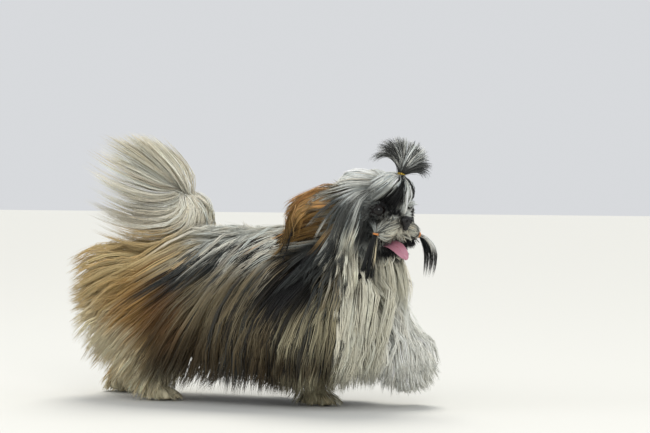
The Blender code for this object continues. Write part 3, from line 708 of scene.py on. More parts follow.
for vertex in tongue.data.vertices:
    away = to_head(np.array(vertex.co)) - tongue_rows[:, :3]
    beside = away @ tongue_across
    row = np.linalg.norm(away - beside[:, None] * tongue_across, axis=1).argmin()
    groove = math.exp(-(beside[row] / 0.0011) ** 2)
    edge = abs(beside[row]) / tongue_rows[row, 3]
    above = np.cross(tongue_slopes[row], tongue_across)
    shift = above * (0.0012 * edge ** 2 - 0.0009 * groove)
    vertex.co += Vector(head_axes.T @ shift)
tongue.data.shade_smooth()
tongue_finish, nodes, links, shader = finish("moist_tongue", 0.3)
position = nodes.new("ShaderNodeTexCoord")
buds = nodes.new("ShaderNodeTexVoronoi")
buds.inputs["Scale"].default_value = 1100.0
links.new(position.outputs["Object"], buds.inputs["Vector"])
flush = nodes.new("ShaderNodeTexNoise")
flush.inputs["Scale"].default_value = 120.0
links.new(position.outputs["Object"], flush.inputs["Vector"])
tongue_tone = nodes.new("ShaderNodeValToRGB")
tongue_tone.color_ramp.elements[0].color = (*colour(171, 106, 123), 1.0)
tongue_tone.color_ramp.elements[1].color = (*colour(197, 142, 158), 1.0)
links.new(flush.outputs["Fac"], tongue_tone.inputs["Fac"])
links.new(tongue_tone.outputs["Color"], shader.inputs["Base Color"])
relief = nodes.new("ShaderNodeBump")
relief.inputs["Strength"].default_value = 0.4
relief.inputs["Distance"].default_value = 0.0002
links.new(buds.outputs["Distance"], relief.inputs["Height"])
links.new(relief.outputs["Normal"], shader.inputs["Normal"])
shader.inputs["Subsurface Weight"].default_value = 0.15
shader.inputs["Subsurface Radius"].default_value = (0.004, 0.0015, 0.0012)
shader.inputs["Coat Weight"].default_value = 0.3
shader.inputs["Coat Roughness"].default_value = 0.15
tongue.data.materials.append(tongue_finish)
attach(tongue, "root")
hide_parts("tongue")

# The elastic bands.
# Tiny rubber bands, each wound a few turns: a yellow one holds the topknot, and an orange one
# each side of the moustache.
for node, name, slot_name, axis, radius, tint in (
        ("topknot_band", "wound_band_topknot", "elastic_yellow", (0, 0.1, 1), 0.0053, (214, 178, 62)),
        ("moustache_band_right", "wound_band_right", "elastic_orange", (0.1, 0.1, 1.0), 0.0041, (206, 134, 72)),
        ("moustache_band_left", "wound_band_left", "elastic_orange", (-0.1, -1.0, 0.5), 0.0041, (206, 134, 72))):
    builder = bmesh.new()
    for turn, lean in ((-1, 0.10), (0, -0.08), (1, 0.05)):
        ring = bmesh.ops.create_circle(builder, segments=10, radius=0.00055)["verts"]
        bmesh.ops.rotate(builder, verts=ring, cent=(0, 0, 0), matrix=Matrix.Rotation(math.pi / 2, 3, "X"))
        bmesh.ops.translate(builder, verts=ring, vec=(radius, 0, turn * 0.00085))
        edges = list({edge for vertex in ring for edge in vertex.link_edges})
        made = bmesh.ops.spin(builder, geom=ring + edges, cent=(0, 0, 0), axis=(0, 0, 1),
                              angle=math.tau, steps=40, use_merge=True)
        whole = [vertex for vertex in builder.verts if abs(vertex.co.z - turn * 0.00085) < 0.0006]
        bmesh.ops.rotate(builder, verts=whole, cent=(0, 0, turn * 0.00085),
                         matrix=Matrix.Rotation(lean, 3, "X"))
    bmesh.ops.recalc_face_normals(builder, faces=builder.faces[:])
    turned = Vector(head_axes.T @ np.array(axis, float)).to_track_quat("Z", "Y").to_matrix().to_4x4()
    builder.transform(Matrix.Translation(Vector(box_middle(node))) @ turned)
    band_mesh = bpy.data.meshes.new(name)
    builder.to_mesh(band_mesh)
    builder.free()
    band_mesh.shade_smooth()
    band = bpy.data.objects.new(name, band_mesh)
    bpy.context.scene.collection.objects.link(band)
    band_finish, nodes, links, shader = finish(name + "_rubber", 0.5)
    position = nodes.new("ShaderNodeTexCoord")
    wear = nodes.new("ShaderNodeTexNoise")
    wear.inputs["Scale"].default_value = 1500.0
    links.new(position.outputs["Object"], wear.inputs["Vector"])
    rubber_tone = nodes.new("ShaderNodeValToRGB")
    rubber_tone.color_ramp.elements[0].color = (*colour(*tint) * 0.75, 1.0)
    rubber_tone.color_ramp.elements[1].color = (*colour(*tint) * 1.1, 1.0)
    links.new(wear.outputs["Fac"], rubber_tone.inputs["Fac"])
    links.new(rubber_tone.outputs["Color"], shader.inputs["Base Color"])
    band_mesh.materials.append(band_finish)
    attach(band, "root")
    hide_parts(node)

# The room for the coat.
# Two fields of distances on a coarse grid, to the skin and to the outer shape of the solids. The
# locks read from them how deep they lie in the coat, and which way is out.
FLESH = ("head", "muzzle", "chin", "ear_right", "ear_left", "neck", "chest", "trunk", "rump",
         "foreleg_right", "paw_fore_right", "foreleg_left", "paw_fore_left",
         "hindleg_right", "paw_hind_right", "hindleg_left", "paw_hind_left")
FIELD_CELL = 0.0065

outer_builder = bmesh.new()
for name in FLESH:
    piece_builder = bmesh.new()
    piece_builder.from_mesh(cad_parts[name].data)
    bmesh.ops.remove_doubles(piece_builder, verts=piece_builder.verts[:], dist=1e-6)
    piece_builder.normal_update()
    for vertex in piece_builder.verts:
        vertex.co += vertex.normal * 0.0007
    spread_mesh = bpy.data.meshes.new("spread")
    piece_builder.to_mesh(spread_mesh)
    piece_builder.free()
    outer_builder.from_mesh(spread_mesh)
    bpy.data.meshes.remove(spread_mesh)
outer_mesh = bpy.data.meshes.new("outer_shape")
outer_builder.to_mesh(outer_mesh)
outer_builder.free()
outer_shape = bpy.data.objects.new("outer_shape", outer_mesh)
bpy.context.scene.collection.objects.link(outer_shape)
fuse = outer_shape.modifiers.new("fuse", "REMESH")
fuse.mode = "VOXEL"
fuse.voxel_size = 0.004
settle = outer_shape.modifiers.new("settle", "SMOOTH")
settle.factor = 0.5
settle.iterations = 4
apply_modifiers(outer_shape)


def tree_of(mesh):
    tree_builder = bmesh.new()
    tree_builder.from_mesh(mesh)
    tree = BVHTree.FromBMesh(tree_builder)
    tree_builder.free()
    return tree


field_low = np.array((-0.345, -0.155, -0.03))
field_size = np.ceil((np.array((0.345, 0.155, 0.40)) - field_low) / FIELD_CELL).astype(int) + 1


def distance_field(tree):
    """The distance to a closed surface at each place of the grid, less than nothing inside it."""
    values = np.empty(field_size)
    find = tree.find_nearest
    for i in range(field_size[0]):
        x = field_low[0] + i * FIELD_CELL
        for j in range(field_size[1]):
            y = field_low[1] + j * FIELD_CELL
            for k in range(field_size[2]):
                place = Vector((x, y, field_low[2] + k * FIELD_CELL))
                spot, normal, _, distance = find(place)
                values[i, j, k] = distance if (place - spot).dot(normal) > 0 else -distance
    return values


skin_tree = tree_of(skin.data)
skin_field = distance_field(skin_tree)
coat_field = distance_field(tree_of(outer_shape.data))
bpy.data.objects.remove(outer_shape, do_unlink=True)
coat_out = np.stack(np.gradient(coat_field, FIELD_CELL), axis=-1)
skin_out = np.stack(np.gradient(skin_field, FIELD_CELL), axis=-1)


def read_field(field, points):
    """The field's value at each point, between its grid places."""
    spots = np.clip((points - field_low) / FIELD_CELL, 0, field_size - 1.001)
    base = spots.astype(int)
    part = spots - base
    total = 0
    for di in (0, 1):
        for dj in (0, 1):
            for dk in (0, 1):
                weight = (np.where(di, part[:, 0], 1 - part[:, 0])
                          * np.where(dj, part[:, 1], 1 - part[:, 1])
                          * np.where(dk, part[:, 2], 1 - part[:, 2]))
                value = field[base[:, 0] + di, base[:, 1] + dj, base[:, 2] + dk]
                total = total + (value * weight if value.ndim == 1 else value * weight[:, None])
    return total


# How locks grow.
# Roots are spread over part of the skin. Guide locks are combed from them over the body, and each
# guide carries a handful of thin locks that draw together towards its tip.
skin.data.calc_loop_triangles()
triangle_count = len(skin.data.loop_triangles)
skin_corners = np.empty(triangle_count * 3, np.int32)
skin.data.loop_triangles.foreach_get("vertices", skin_corners)
skin_corners = skin_corners.reshape(-1, 3)
skin_loops = np.empty(triangle_count * 3, np.int32)
skin.data.loop_triangles.foreach_get("loops", skin_loops)
skin_loops = skin_loops.reshape(-1, 3)
skin_uv = np.empty(len(skin.data.loops) * 2, np.float32)
skin.data.uv_layers["OFBake"].data.foreach_get("uv", skin_uv)
skin_uv = skin_uv.reshape(-1, 2)
corner_a, corner_b, corner_c = (skin_points[skin_corners[:, k]] for k in range(3))
face_cross = np.cross(corner_b - corner_a, corner_c - corner_a)
face_area = np.linalg.norm(face_cross, axis=1) / 2
face_normal = face_cross / np.maximum(2 * face_area[:, None], 1e-12)
face_middle = (corner_a + corner_b + corner_c) / 3
face_on_head = to_head(face_middle)


def spread_roots(density, count, rng):
    """Random places on the skin, more where the density of a triangle is higher."""
    chance = face_area * density
    chosen = rng.choice(triangle_count, count, p=chance / chance.sum())
    u, v = rng.random(count), rng.random(count)
    flip = u + v > 1
    u[flip], v[flip] = 1 - u[flip], 1 - v[flip]
    shares = np.stack([1 - u - v, u, v], axis=1)[:, :, None]
    places = (skin_points[skin_corners[chosen]] * shares).sum(axis=1)
    uv = (skin_uv[skin_loops[chosen]] * shares).sum(axis=1)
    return places, face_normal[chosen], uv


def combed(strokes, reach=0.05, mirrored=True, axes=None):
    """The lie of the coat as a blend of comb strokes, each a place and a direction."""
    strokes = np.array(strokes, float)
    spots_of, ways = strokes[:, :3], unit(strokes[:, 3:])

    def lie(spots):
        local = to_head(spots) if axes is not None else spots
        side = np.where(local[:, 1] < 0, -1.0, 1.0) if mirrored else np.ones(len(local))
        local = local * np.column_stack([np.ones(len(local)), side, np.ones(len(local))])
        gap = ((local[:, None, :] - spots_of[None]) ** 2).sum(axis=2)
        weight = 1 / (gap + (reach * 0.3) ** 2) ** 2
        way = (weight[:, :, None] * ways[None]).sum(axis=1) / weight.sum(axis=1)[:, None]
        way[:, 1] *= side
        return unit(way @ axes if axes is not None else way)

    return lie


def comb(places, normals, lengths, lie, level, steps, lift, least=0.0012, start_out=0.6):
    """Grow guides along the lie of the coat, held between the skin and their own level above it.

    Where the lie runs straight out of the coat's outer shape, at a hem, they are left free.
    """
    path = [places]
    spot = places.copy()
    step = (lengths / steps)[:, None]
    heading = unit(normals * start_out + lie(spot))
    for _ in range(steps):
        above = read_field(skin_field, spot)
        below = -read_field(coat_field, spot)
        outer = unit(read_field(coat_out, spot))
        inner = unit(read_field(skin_out, spot))
        laid_way = lie(spot)
        held = 1 - ramp((laid_way * outer).sum(axis=1), 0.35, 0.70)
        wanted = unit(laid_way + lift * held[:, None] * outer)
        over = (above - level * np.maximum(above + below, 0.001)) * held
        press = (np.clip(over / step[:, 0] + 0.35, 0, 1) * held)[:, None]
        outward = np.maximum((wanted * outer).sum(axis=1, keepdims=True), 0)
        wanted = wanted - press * outward * outer - np.clip(over[:, None] / step, 0, 0.6) * outer
        sunk = np.clip((least - above[:, None]) / step + 0.2, 0, 1)
        inward = np.minimum((wanted * inner).sum(axis=1, keepdims=True), 0)
        wanted = wanted - sunk * inward * inner
        wanted = wanted + np.clip((least - above[:, None]) / step, 0, 0.8) * inner
        heading = unit(heading * 0.8 + unit(wanted))
        spot = spot + heading * step
        path.append(spot)
    return np.stack(path, axis=1)


def draw_to(paths, targets):
    """Bend paths so that each ends at its own target."""
    t = np.linspace(0, 1, paths.shape[1])[None, :, None]
    return paths + (targets - paths[:, -1])[:, None, :] * t ** 1.6


def cut_back(paths, ends):
    """Let each path stop at its own place along it, counted in steps."""
    count, length, _ = paths.shape
    places = np.linspace(0, 1, length)[None, :] * ends[:, None]
    start = np.minimum(places.astype(int), length - 2)
    share = (places - start)[:, :, None]
    rows = np.arange(count)[:, None]
    return paths[rows, start] * (1 - share) + paths[rows, start + 1] * share


def shorten(paths, past):
    """Cut each path short at the first place where past is more than nothing."""
    count, length, _ = paths.shape
    outside = past > 0
    first = np.where(outside.any(axis=1), outside.argmax(axis=1), length - 1)
    first = np.maximum(first, 1)
    rows = np.arange(count)
    before, after = past[rows, first - 1], past[rows, first]
    part = np.where(outside.any(axis=1), -before / np.maximum(after - before, 1e-6), 1.0)
    return cut_back(paths, first - 1 + np.clip(part, 0.05, 1))


def side_frames(paths):
    """The directions along, across and out of each path."""
    along = unit(np.gradient(paths, axis=1))
    out = unit(read_field(coat_out, paths.reshape(-1, 3)).reshape(paths.shape) + (1e-4, 0, 1e-4))
    across = unit(np.cross(along, out))
    return along, across, unit(np.cross(across, along))


def wave(paths, width, wavelength, rng):
    """Let paths sway from side to side, more towards their tips."""
    along, across, out = side_frames(paths)
    count, steps, _ = paths.shape
    lengths = np.linalg.norm(np.diff(paths, axis=1), axis=2).sum(axis=1)
    t = np.linspace(0, 1, steps)[None, :]
    turns = (lengths / wavelength)[:, None]
    phase = rng.random((count, 1)) * 2 * np.pi
    lift = rng.random((count, 1)) * 2 * np.pi
    swing = np.sin(2 * np.pi * turns * t + phase) - np.sin(phase) * (1 - t)
    bob = np.sin(2 * np.pi * turns * t * 0.8 + lift) - np.sin(lift) * (1 - t)
    grown = t ** 0.8 * width * (0.4 + rng.random((count, 1)))
    return paths + across * (swing * grown)[:, :, None] + out * (bob * grown * 0.4)[:, :, None]


def gather(paths, each, root_width, tip_width, rng, fray):
    """Carry several locks on each guide, which draw together towards its tip."""
    count, steps, _ = paths.shape
    along, across, out = side_frames(paths)
    owner = np.repeat(np.arange(count), each)
    t = np.linspace(0, 1, steps)
    angle = rng.random(len(owner)) * 2 * np.pi
    radius = np.sqrt(rng.random(len(owner)))
    reach = 0.87 + 0.18 * rng.random(len(owner))
    places = np.minimum(t[None, :] * reach[:, None], 1) * (steps - 1)
    start = np.minimum(places.astype(int), steps - 2)
    share = (places - start)[:, :, None]

    def sampled(values):
        return values[owner[:, None], start] * (1 - share) + values[owner[:, None], start + 1] * share

    width = root_width + (tip_width - root_width) * t ** 0.7
    astray = (rng.random(len(owner)) < fray)[:, None] * (t ** 2)[None, :] * root_width * 2.2
    spread = radius[:, None] * width[None, :] + astray
    offset = (sampled(across) * (np.cos(angle)[:, None] * spread)[:, :, None]
              + sampled(out) * (np.sin(angle)[:, None] * spread * 0.45)[:, :, None])
    return sampled(paths) + offset, owner


def clear_of_eyes(paths):
    """Move what would cross an eye's opening to its rim."""
    for side in (RIGHT, LEFT):
        axis = np.array(eye_axes[side])
        away = paths - eye_places[side]
        ahead = (away * axis).sum(axis=-1, keepdims=True)
        aside = away - ahead * axis
        tall = np.abs(aside[..., 2:]) / np.maximum(np.linalg.norm(aside, axis=-1, keepdims=True), 1e-6)
        wanted = LASH_LINE[0] + (LASH_LINE[1] - LASH_LINE[0]) * tall
        reach = np.linalg.norm(aside, axis=-1, keepdims=True)
        moved = aside * (wanted / np.maximum(reach, 1e-5) - 1)
        paths = paths + np.where((ahead > 0.003) & (reach < wanted), moved, 0)
    return paths


LASH_LINE = (0.0090, 0.0064)


def lock_mesh(name, paths, width, shade, uv, flatness=0.34):
    """One joined mesh of closed tapered locks with three sides, which end in a point."""
    count, steps, _ = paths.shape
    along, across, out = side_frames(paths)
    t = np.linspace(0, 1, steps)
    taper = np.minimum(1, 0.55 + t * 3) * np.clip((1 - t) * 3.0, 0, 1) ** 0.8
    half = np.asarray(width).reshape(-1, 1) * taper[None, :] / 2
    rings = []
    for turn in (0.5 * np.pi, 7 / 6 * np.pi, 11 / 6 * np.pi):
        rings.append(paths + across * (half * np.cos(turn))[:, :, None]
                     + out * (half * np.sin(turn) * flatness)[:, :, None])
    ring_points = np.stack(rings, axis=2)[:, :-1].reshape(count, -1, 3)
    points = np.concatenate([ring_points, paths[:, -1:, :]], axis=1)
    points[:, :, 2] = np.maximum(points[:, :, 2], 0.0008)
    per_lock = points.shape[1]
    ring_count = steps - 1
    quads = [(ring * 3 + corner, ring * 3 + (corner + 1) % 3, ring * 3 + 3 + (corner + 1) % 3,
              ring * 3 + 3 + corner) for ring in range(ring_count - 1) for corner in range(3)]
    last = (ring_count - 1) * 3
    triangles = [(2, 1, 0)] + [(last + corner, last + (corner + 1) % 3, per_lock - 1)
                               for corner in range(3)]
    base = (np.arange(count) * per_lock)[:, None, None]
    corners = np.concatenate([(np.array(quads)[None] + base).reshape(count, -1),
                              (np.array(triangles)[None] + base).reshape(count, -1)], axis=1).ravel()
    sizes = np.tile(np.repeat((4, 3), (len(quads), len(triangles))), count)
    mesh = bpy.data.meshes.new(name)
    mesh.vertices.add(count * per_lock)
    mesh.vertices.foreach_set("co", points.astype(np.float32).ravel())
    mesh.loops.add(len(corners))
    mesh.loops.foreach_set("vertex_index", corners.astype(np.int32))
    mesh.polygons.add(len(sizes))
    mesh.polygons.foreach_set("loop_start", (np.cumsum(sizes) - sizes).astype(np.int32))
    mesh.update(calc_edges=True)
    rounded = np.append(np.tile((True, False, True), ring_count - 1), (False, True, True, True))
    mesh.polygons.foreach_set("use_smooth", np.tile(rounded, count))
    along_lock = np.append(np.repeat(np.arange(ring_count), 3), ring_count) / ring_count
    around = np.append(np.tile((0.0, 0.5, 1.0), ring_count), 0.5)
    patch = np.stack([uv[:, :1] + (around[None, :] - 0.5) * PATCH,
                      uv[:, 1:] + (along_lock[None, :] - 0.5) * PATCH], axis=-1).reshape(-1, 2)
    layer = mesh.uv_layers.new(name="OFBake")
    layer.data.foreach_set("uv", patch[corners].astype(np.float32).ravel())
    shade_rows = np.concatenate([np.repeat(shade[:, :-1], 3, axis=1), shade[:, -1:]], axis=1)
    write_colour(mesh, shade_rows.reshape(-1, 3))
    thing = bpy.data.objects.new(name, mesh)
    bpy.context.scene.collection.objects.link(thing)
    mesh.materials.append(coat_finish)
    return thing


PATCH = 0.003


STREAK_WIDTH = 0.006


def lock_colours(paths, owner, colouring, rng, dark_shade, stray, streaked, uneven):
    """Colours along each lock: its place's marking, some whole guides dark, small changes, and painted shade towards
    the root, where the lock lies deep in the coat.
    """
    guides = owner.max() + 1
    moved = rng.normal(0, stray, (guides, 3))[owner][:, None, :]
    count, steps, _ = paths.shape
    shade, dark = colouring((paths + moved).reshape(-1, 3))
    shade = shade.reshape(count, steps, 3)
    dark = dark.reshape(count, steps)
    streaks = np.arange(-0.5, 0.5, STREAK_WIDTH)
    across = paths[:, 0] @ (1.0, 0.0, -0.7)
    lot = streaked * np.interp(across, streaks, rng.random(len(streaks)))
    lot = lot + (1 - streaked) * (0.62 * rng.random(guides)[owner] + 0.38 * rng.random(count))
    hit = ramp(dark - lot[:, None], -0.05, 0.09)
    shade = shade + (dark_shade - shade) * (0.9 * hit)[:, :, None]
    tone = np.exp(uneven * (rng.normal(0, 0.12, guides)[owner] + rng.normal(0, 0.07, count)))
    warm = rng.normal(0, 0.026 * uneven, guides)[owner]
    shade = shade * tone[:, None, None]
    shade[:, :, 0] *= (1 + warm)[:, None]
    shade[:, :, 2] *= (1 - warm)[:, None]
    t = np.linspace(0, 1, steps)
    # Painted shade: each lock is darker towards its root, where it lies deep in the coat.
    shade = shade * (0.72 + 0.28 * np.minimum(1, t * 3))[None, :, None]
    return np.clip(shade, 0.002, 0.92)


# The finish of the coat: the lock's own colour, with fine streaks along the hair, and the soft
# gloss of clean silky hair.
coat_finish, nodes, links, shader = finish("silky_coat", 0.5)
stored = nodes.new("ShaderNodeAttribute")
stored.attribute_name = "coat_colour"
position = nodes.new("ShaderNodeTexCoord")
strands = nodes.new("ShaderNodeTexNoise")
strands.inputs["Scale"].default_value = 420.0
strands.inputs["Detail"].default_value = 2.0
stretch = nodes.new("ShaderNodeMapping")
stretch.inputs["Scale"].default_value = (1.0, 1.0, 0.25)
links.new(position.outputs["Object"], stretch.inputs["Vector"])
links.new(stretch.outputs["Vector"], strands.inputs["Vector"])
strand_tone = nodes.new("ShaderNodeMapRange")
strand_tone.inputs["To Min"].default_value = 0.80
strand_tone.inputs["To Max"].default_value = 1.18
links.new(strands.outputs["Fac"], strand_tone.inputs["Value"])
toned = nodes.new("ShaderNodeVectorMath")
toned.operation = "SCALE"
links.new(stored.outputs["Color"], toned.inputs[0])
links.new(strand_tone.outputs["Result"], toned.inputs["Scale"])
links.new(toned.outputs["Vector"], shader.inputs["Base Color"])
gloss = nodes.new("ShaderNodeMapRange")
gloss.inputs["To Min"].default_value = 0.38
gloss.inputs["To Max"].default_value = 0.62
links.new(strands.outputs["Fac"], gloss.inputs["Value"])
links.new(gloss.outputs["Result"], shader.inputs["Roughness"])
relief = nodes.new("ShaderNodeBump")
relief.inputs["Strength"].default_value = 0.25
relief.inputs["Distance"].default_value = 0.0003
links.new(strands.outputs["Fac"], relief.inputs["Height"])
links.new(relief.outputs["Normal"], shader.inputs["Normal"])
shader.inputs["Specular IOR Level"].default_value = 0.22
shader.inputs["Sheen Weight"].default_value = 0.03


def coat_piece(name, guides, uv, rng, each, width, drawn, colouring=markings,
               dark_shade=SLATE, stray=0.010, fray=0.10, streaked=0.45, uneven=1.0):
    """Thin locks on their guides, as one piece of the model."""
    paths, owner = gather(guides, each, *drawn, rng, fray)
    shade = lock_colours(paths, owner, colouring, rng, dark_shade, stray, streaked, uneven)
    widths = width[0] + (width[1] - width[0]) * rng.random(len(owner))
    uv_each = np.clip(uv[owner] + rng.normal(0, 0.0012, (len(owner), 2)), 0.002, 0.998)
    thing = lock_mesh(name, paths, widths, shade, uv_each)
    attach(thing, "root")
    return thing


def grown(density, count, length_of, lie, rng, level=(0.5, 1.0), lift=0.35, steps=6, sway=0.0022,
          wavelength=0.085, lowest=(0.014, 0.022), start_out=0.6, fullness=None):
    """Guides that grow from part of the skin and lie with the coat."""
    places, normals, uv = spread_roots(density, count, rng)
    lengths = length_of(places) * (0.88 + 0.28 * rng.random(count))
    levels = level[0] + (level[1] - level[0]) * rng.random(count) ** 0.6
    if fullness is not None:
        levels = levels * fullness(places)
    paths = comb(places, normals, lengths, lie, levels, steps * 2, lift, start_out=start_out)
    floor_height = lowest[0] + lowest[1] * rng.random(count) ** 2
    beyond = read_field(coat_field, paths.reshape(-1, 3)).reshape(count, -1)
    beyond = beyond - 0.002 - 0.010 * ramp(paths[:, :, 2], 0.09, 0.03) - 0.007 * rng.random((count, 1)) ** 2
    paths = shorten(paths, np.maximum(beyond, floor_height[:, None] - paths[:, :, 2]))
    return wave(paths, sway, wavelength, rng)[:, ::2], uv


# The coat of back and flanks.
# Long silky hair parts along the spine, and falls down and back on both sides to a hem just off
# the floor, in silver, grey and brown locks.
x_of, y_of, z_of = face_middle.T
forward_of, aside_of, up_of = face_on_head.T
out_of = np.abs(aside_of)
is_head = ((face_on_head - (0.008, 0, -0.008)) / (0.068, 0.062, 0.080)) ** 2 @ np.ones(3) < 1
mirrored = np.column_stack([forward_of, out_of, up_of])
flap_top, flap_run = np.array((-0.014, 0.046, 0.018)), np.array((-0.044, 0.020, -0.044))
flap_share = np.clip((mirrored - flap_top) @ flap_run / (flap_run @ flap_run), 0, 1)
flap_gap = np.linalg.norm(mirrored - flap_top - flap_share[:, None] * flap_run, axis=1)
is_ear = (out_of > 0.050) & (flap_gap < 0.027)
is_head = is_head & ~is_ear
is_tail = (z_of > 0.256) & (x_of < -0.05)
is_raised = (x_of > 0.215) & (z_of < 0.128) & (y_of > 0.02)
is_foot = (z_of < 0.046) & ~is_raised
is_rump = (x_of < -0.070) & ~is_tail & ~is_foot
is_neck = (x_of > 0.100) & (z_of > 0.232) & ~is_head & ~is_ear
is_chest = (x_of > 0.100) & ~(is_head | is_ear | is_neck | is_raised | is_foot)
is_trunk = ~(is_head | is_ear | is_tail | is_foot | is_raised | is_rump | is_neck | is_chest)

lie_of_body = combed([
    (0.10, 0.00, 0.26, -0.5, 1.0, -0.3), (0.00, 0.00, 0.26, -0.6, 1.0, -0.3),
    (-0.07, 0.00, 0.26, -0.9, 0.8, -0.3), (0.12, 0.07, 0.24, -0.4, 0.4, -1.0),
    (0.03, 0.07, 0.24, -0.6, 0.4, -1.0), (-0.05, 0.07, 0.23, -1.0, 0.3, -0.75),
    (-0.11, 0.06, 0.23, -1.0, 0.2, -0.45), (0.12, 0.10, 0.17, -0.25, 0.1, -1.0),
    (0.03, 0.10, 0.17, -0.4, 0.1, -1.0), (-0.05, 0.11, 0.17, -0.8, 0.1, -0.8),
    (-0.12, 0.11, 0.18, -1.0, 0.25, -0.45), (-0.20, 0.08, 0.20, -1.0, 0.15, -0.30),
    (0.12, 0.12, 0.09, -0.1, 0.05, -1.0), (0.02, 0.12, 0.09, -0.2, 0.05, -1.0),
    (-0.07, 0.12, 0.10, -0.5, 0.1, -0.9), (-0.15, 0.11, 0.11, -0.8, 0.2, -0.6),
    (-0.22, 0.09, 0.13, -0.9, 0.1, -0.40), (-0.15, 0.10, 0.06, -0.6, 0.1, -0.8),
    (-0.24, 0.07, 0.07, -0.7, 0.1, -0.75), (-0.28, 0.03, 0.14, -0.95, 0.0, -0.25),
    (-0.20, 0.05, 0.05, -0.35, 0.1, -1.0), (-0.27, 0.04, 0.05, -0.5, 0.1, -0.9),
    (-0.13, 0.05, 0.05, -0.15, 0.1, -1.0),
    (-0.13, 0.03, 0.26, -1.0, 0.2, -0.10), (-0.18, 0.02, 0.25, -1.0, 0.1, 0.02),
    (-0.24, 0.02, 0.245, -1.0, 0.1, 0.0), (-0.29, 0.03, 0.225, -0.9, 0.05, -0.25)], 0.06)


def trunk_length(places):
    return 0.165 + 0.120 * ramp(places[:, 2], 0.13, 0.24)


def fullness_by_tail(places):
    """Flat below the tail's folds, and full behind the thighs."""
    x, _, z = places.T
    return 1 - 0.62 * ramp(z, 0.170, 0.210) * ramp(x, -0.040, -0.065) * ramp(x, -0.140, -0.118)


for side, name, count in ((RIGHT, "coat_flank_right", 470), (LEFT, "coat_flank_left", 250)):
    rng = np.random.default_rng(11 + side)
    density = is_trunk * (y_of * side > -0.004) * (0.5 + 1.2 * ramp(z_of, 0.14, 0.24))
    guides, uv = grown(density, count, trunk_length, lie_of_body, rng, fullness=fullness_by_tail)
    coat_piece(name, guides, uv, rng, 7, (0.0010, 0.0018), (0.0050, 0.0034))

# The coat of hips and thighs.
# Golden, tan and cream hair that the trot blows back, full and rounded behind the thighs.


def rump_length(places):
    return 0.130 + 0.085 * ramp(places[:, 2], 0.10, 0.20)


for side, name, count in ((RIGHT, "coat_rump_right", 505), (LEFT, "coat_rump_left", 260)):
    rng = np.random.default_rng(21 + side)
    density = is_rump * (y_of * side > -0.004) * (0.6 + 0.8 * ramp(z_of, 0.10, 0.20))
    density = density * (1 + 1.6 * ramp(z_of, 0.19, 0.22) * ramp(x_of, -0.118, -0.138))
    guides, uv = grown(density, count, rump_length, lie_of_body, rng, lift=0.5, level=(0.4, 1.0),
                       lowest=(0.004, 0.018), fullness=fullness_by_tail)
    coat_piece(name, guides, uv, rng, 7, (0.0010, 0.0018), (0.0050, 0.0036))

# The bib and the shoulders.
# White hair hangs from throat and breast between the forelegs, and darker, waved hair over the
# right and left shoulder.
lie_of_chest = combed([
    (0.15, 0.09, 0.20, -0.55, 0.15, -0.85), (0.16, 0.10, 0.13, -0.25, 0.05, -1.0),
    (0.14, 0.10, 0.06, -0.15, 0.0, -1.0), (0.20, 0.07, 0.20, -0.2, 0.15, -1.0),
    (0.22, 0.06, 0.14, -0.05, 0.05, -1.0), (0.22, 0.01, 0.24, 0.9, 0.3, -0.7),
    (0.25, 0.02, 0.21, 0.55, 0.25, -0.9),
    (0.25, 0.0, 0.16, 0.0, 0.1, -1.0), (0.20, 0.0, 0.07, -0.1, 0.0, -1.0),
    (0.18, 0.06, 0.26, -0.7, 0.3, -0.7), (0.13, 0.05, 0.28, -0.9, 0.3, -0.5)], 0.06)


def chest_length(places):
    return 0.130 + 0.060 * ramp(places[:, 2], 0.13, 0.21)


is_bib = is_chest & ((x_of > 0.178) | ((np.abs(y_of) < 0.030) & (x_of > 0.12)))
for side, name, count in ((RIGHT, "coat_shoulder_right", 400), (LEFT, "coat_shoulder_left", 190)):
    rng = np.random.default_rng(31 + side)
    density = (is_chest & ~is_bib) * (y_of * side > -0.004)
    guides, uv = grown(density, count, chest_length, lie_of_chest, rng, sway=0.0026, wavelength=0.06)
    coat_piece(name, guides, uv, rng, 6, (0.0010, 0.0018), (0.0050, 0.0032),
               dark_shade=BLACK)
rng = np.random.default_rng(41)
guides, uv = grown(is_bib * (1 + 1.5 * (x_of > 0.235)), 450, chest_length, lie_of_chest, rng, sway=0.0036, wavelength=0.070,
                   lift=0.8, level=(0.55, 1.0), start_out=1.3)
coat_piece("coat_bib", guides, uv, rng, 7, (0.0010, 0.0018), (0.0056, 0.0044),
           streaked=0.1, uneven=0.5)

# The lifted foreleg.
# White hair bells out round it, as long as the leg, and swings forward with the step.
RAISED_AXIS = np.array((0.262, 0.047))


def lie_of_raised(spots):
    away = spots[:, :2] - RAISED_AXIS
    high = ramp(spots[:, 2], 0.085, 0.130)
    return unit(np.column_stack([away[:, 0] * 12 + 0.20 + 0.9 * high, away[:, 1] * 12, -1.0 + 0.3 * high]))


def raised_length(places):
    return 0.044 + 0.056 * ramp(places[:, 2], 0.05, 0.12)


rng = np.random.default_rng(51)
guides, uv = grown(is_raised * 1.0, 300, raised_length, lie_of_raised, rng, sway=0.0020,
                   wavelength=0.06, lowest=(0.020, 0.020), lift=0.5, level=(0.6, 1.0))
coat_piece("coat_foreleg_left", guides, uv, rng, 7, (0.0012, 0.0020), (0.0050, 0.0034),
           streaked=0.1, uneven=0.4)

# The standing feet.
# Short hair falls over the toes to the floor on three feet, and hides the pads.


def lie_of_feet(spots):
    away = np.stack([spots[:, :2] - place for place in FOOT_PLACES.values()])
    nearest = (away ** 2).sum(axis=2).argmin(axis=0)
    away = away[nearest, np.arange(len(spots))]
    return unit(np.column_stack([away * 26 + (0.25, 0.0), np.full(len(spots), -1.0)]))


def foot_length(places):
    return 0.018 + 0.024 * ramp(places[:, 2], 0.008, 0.040)


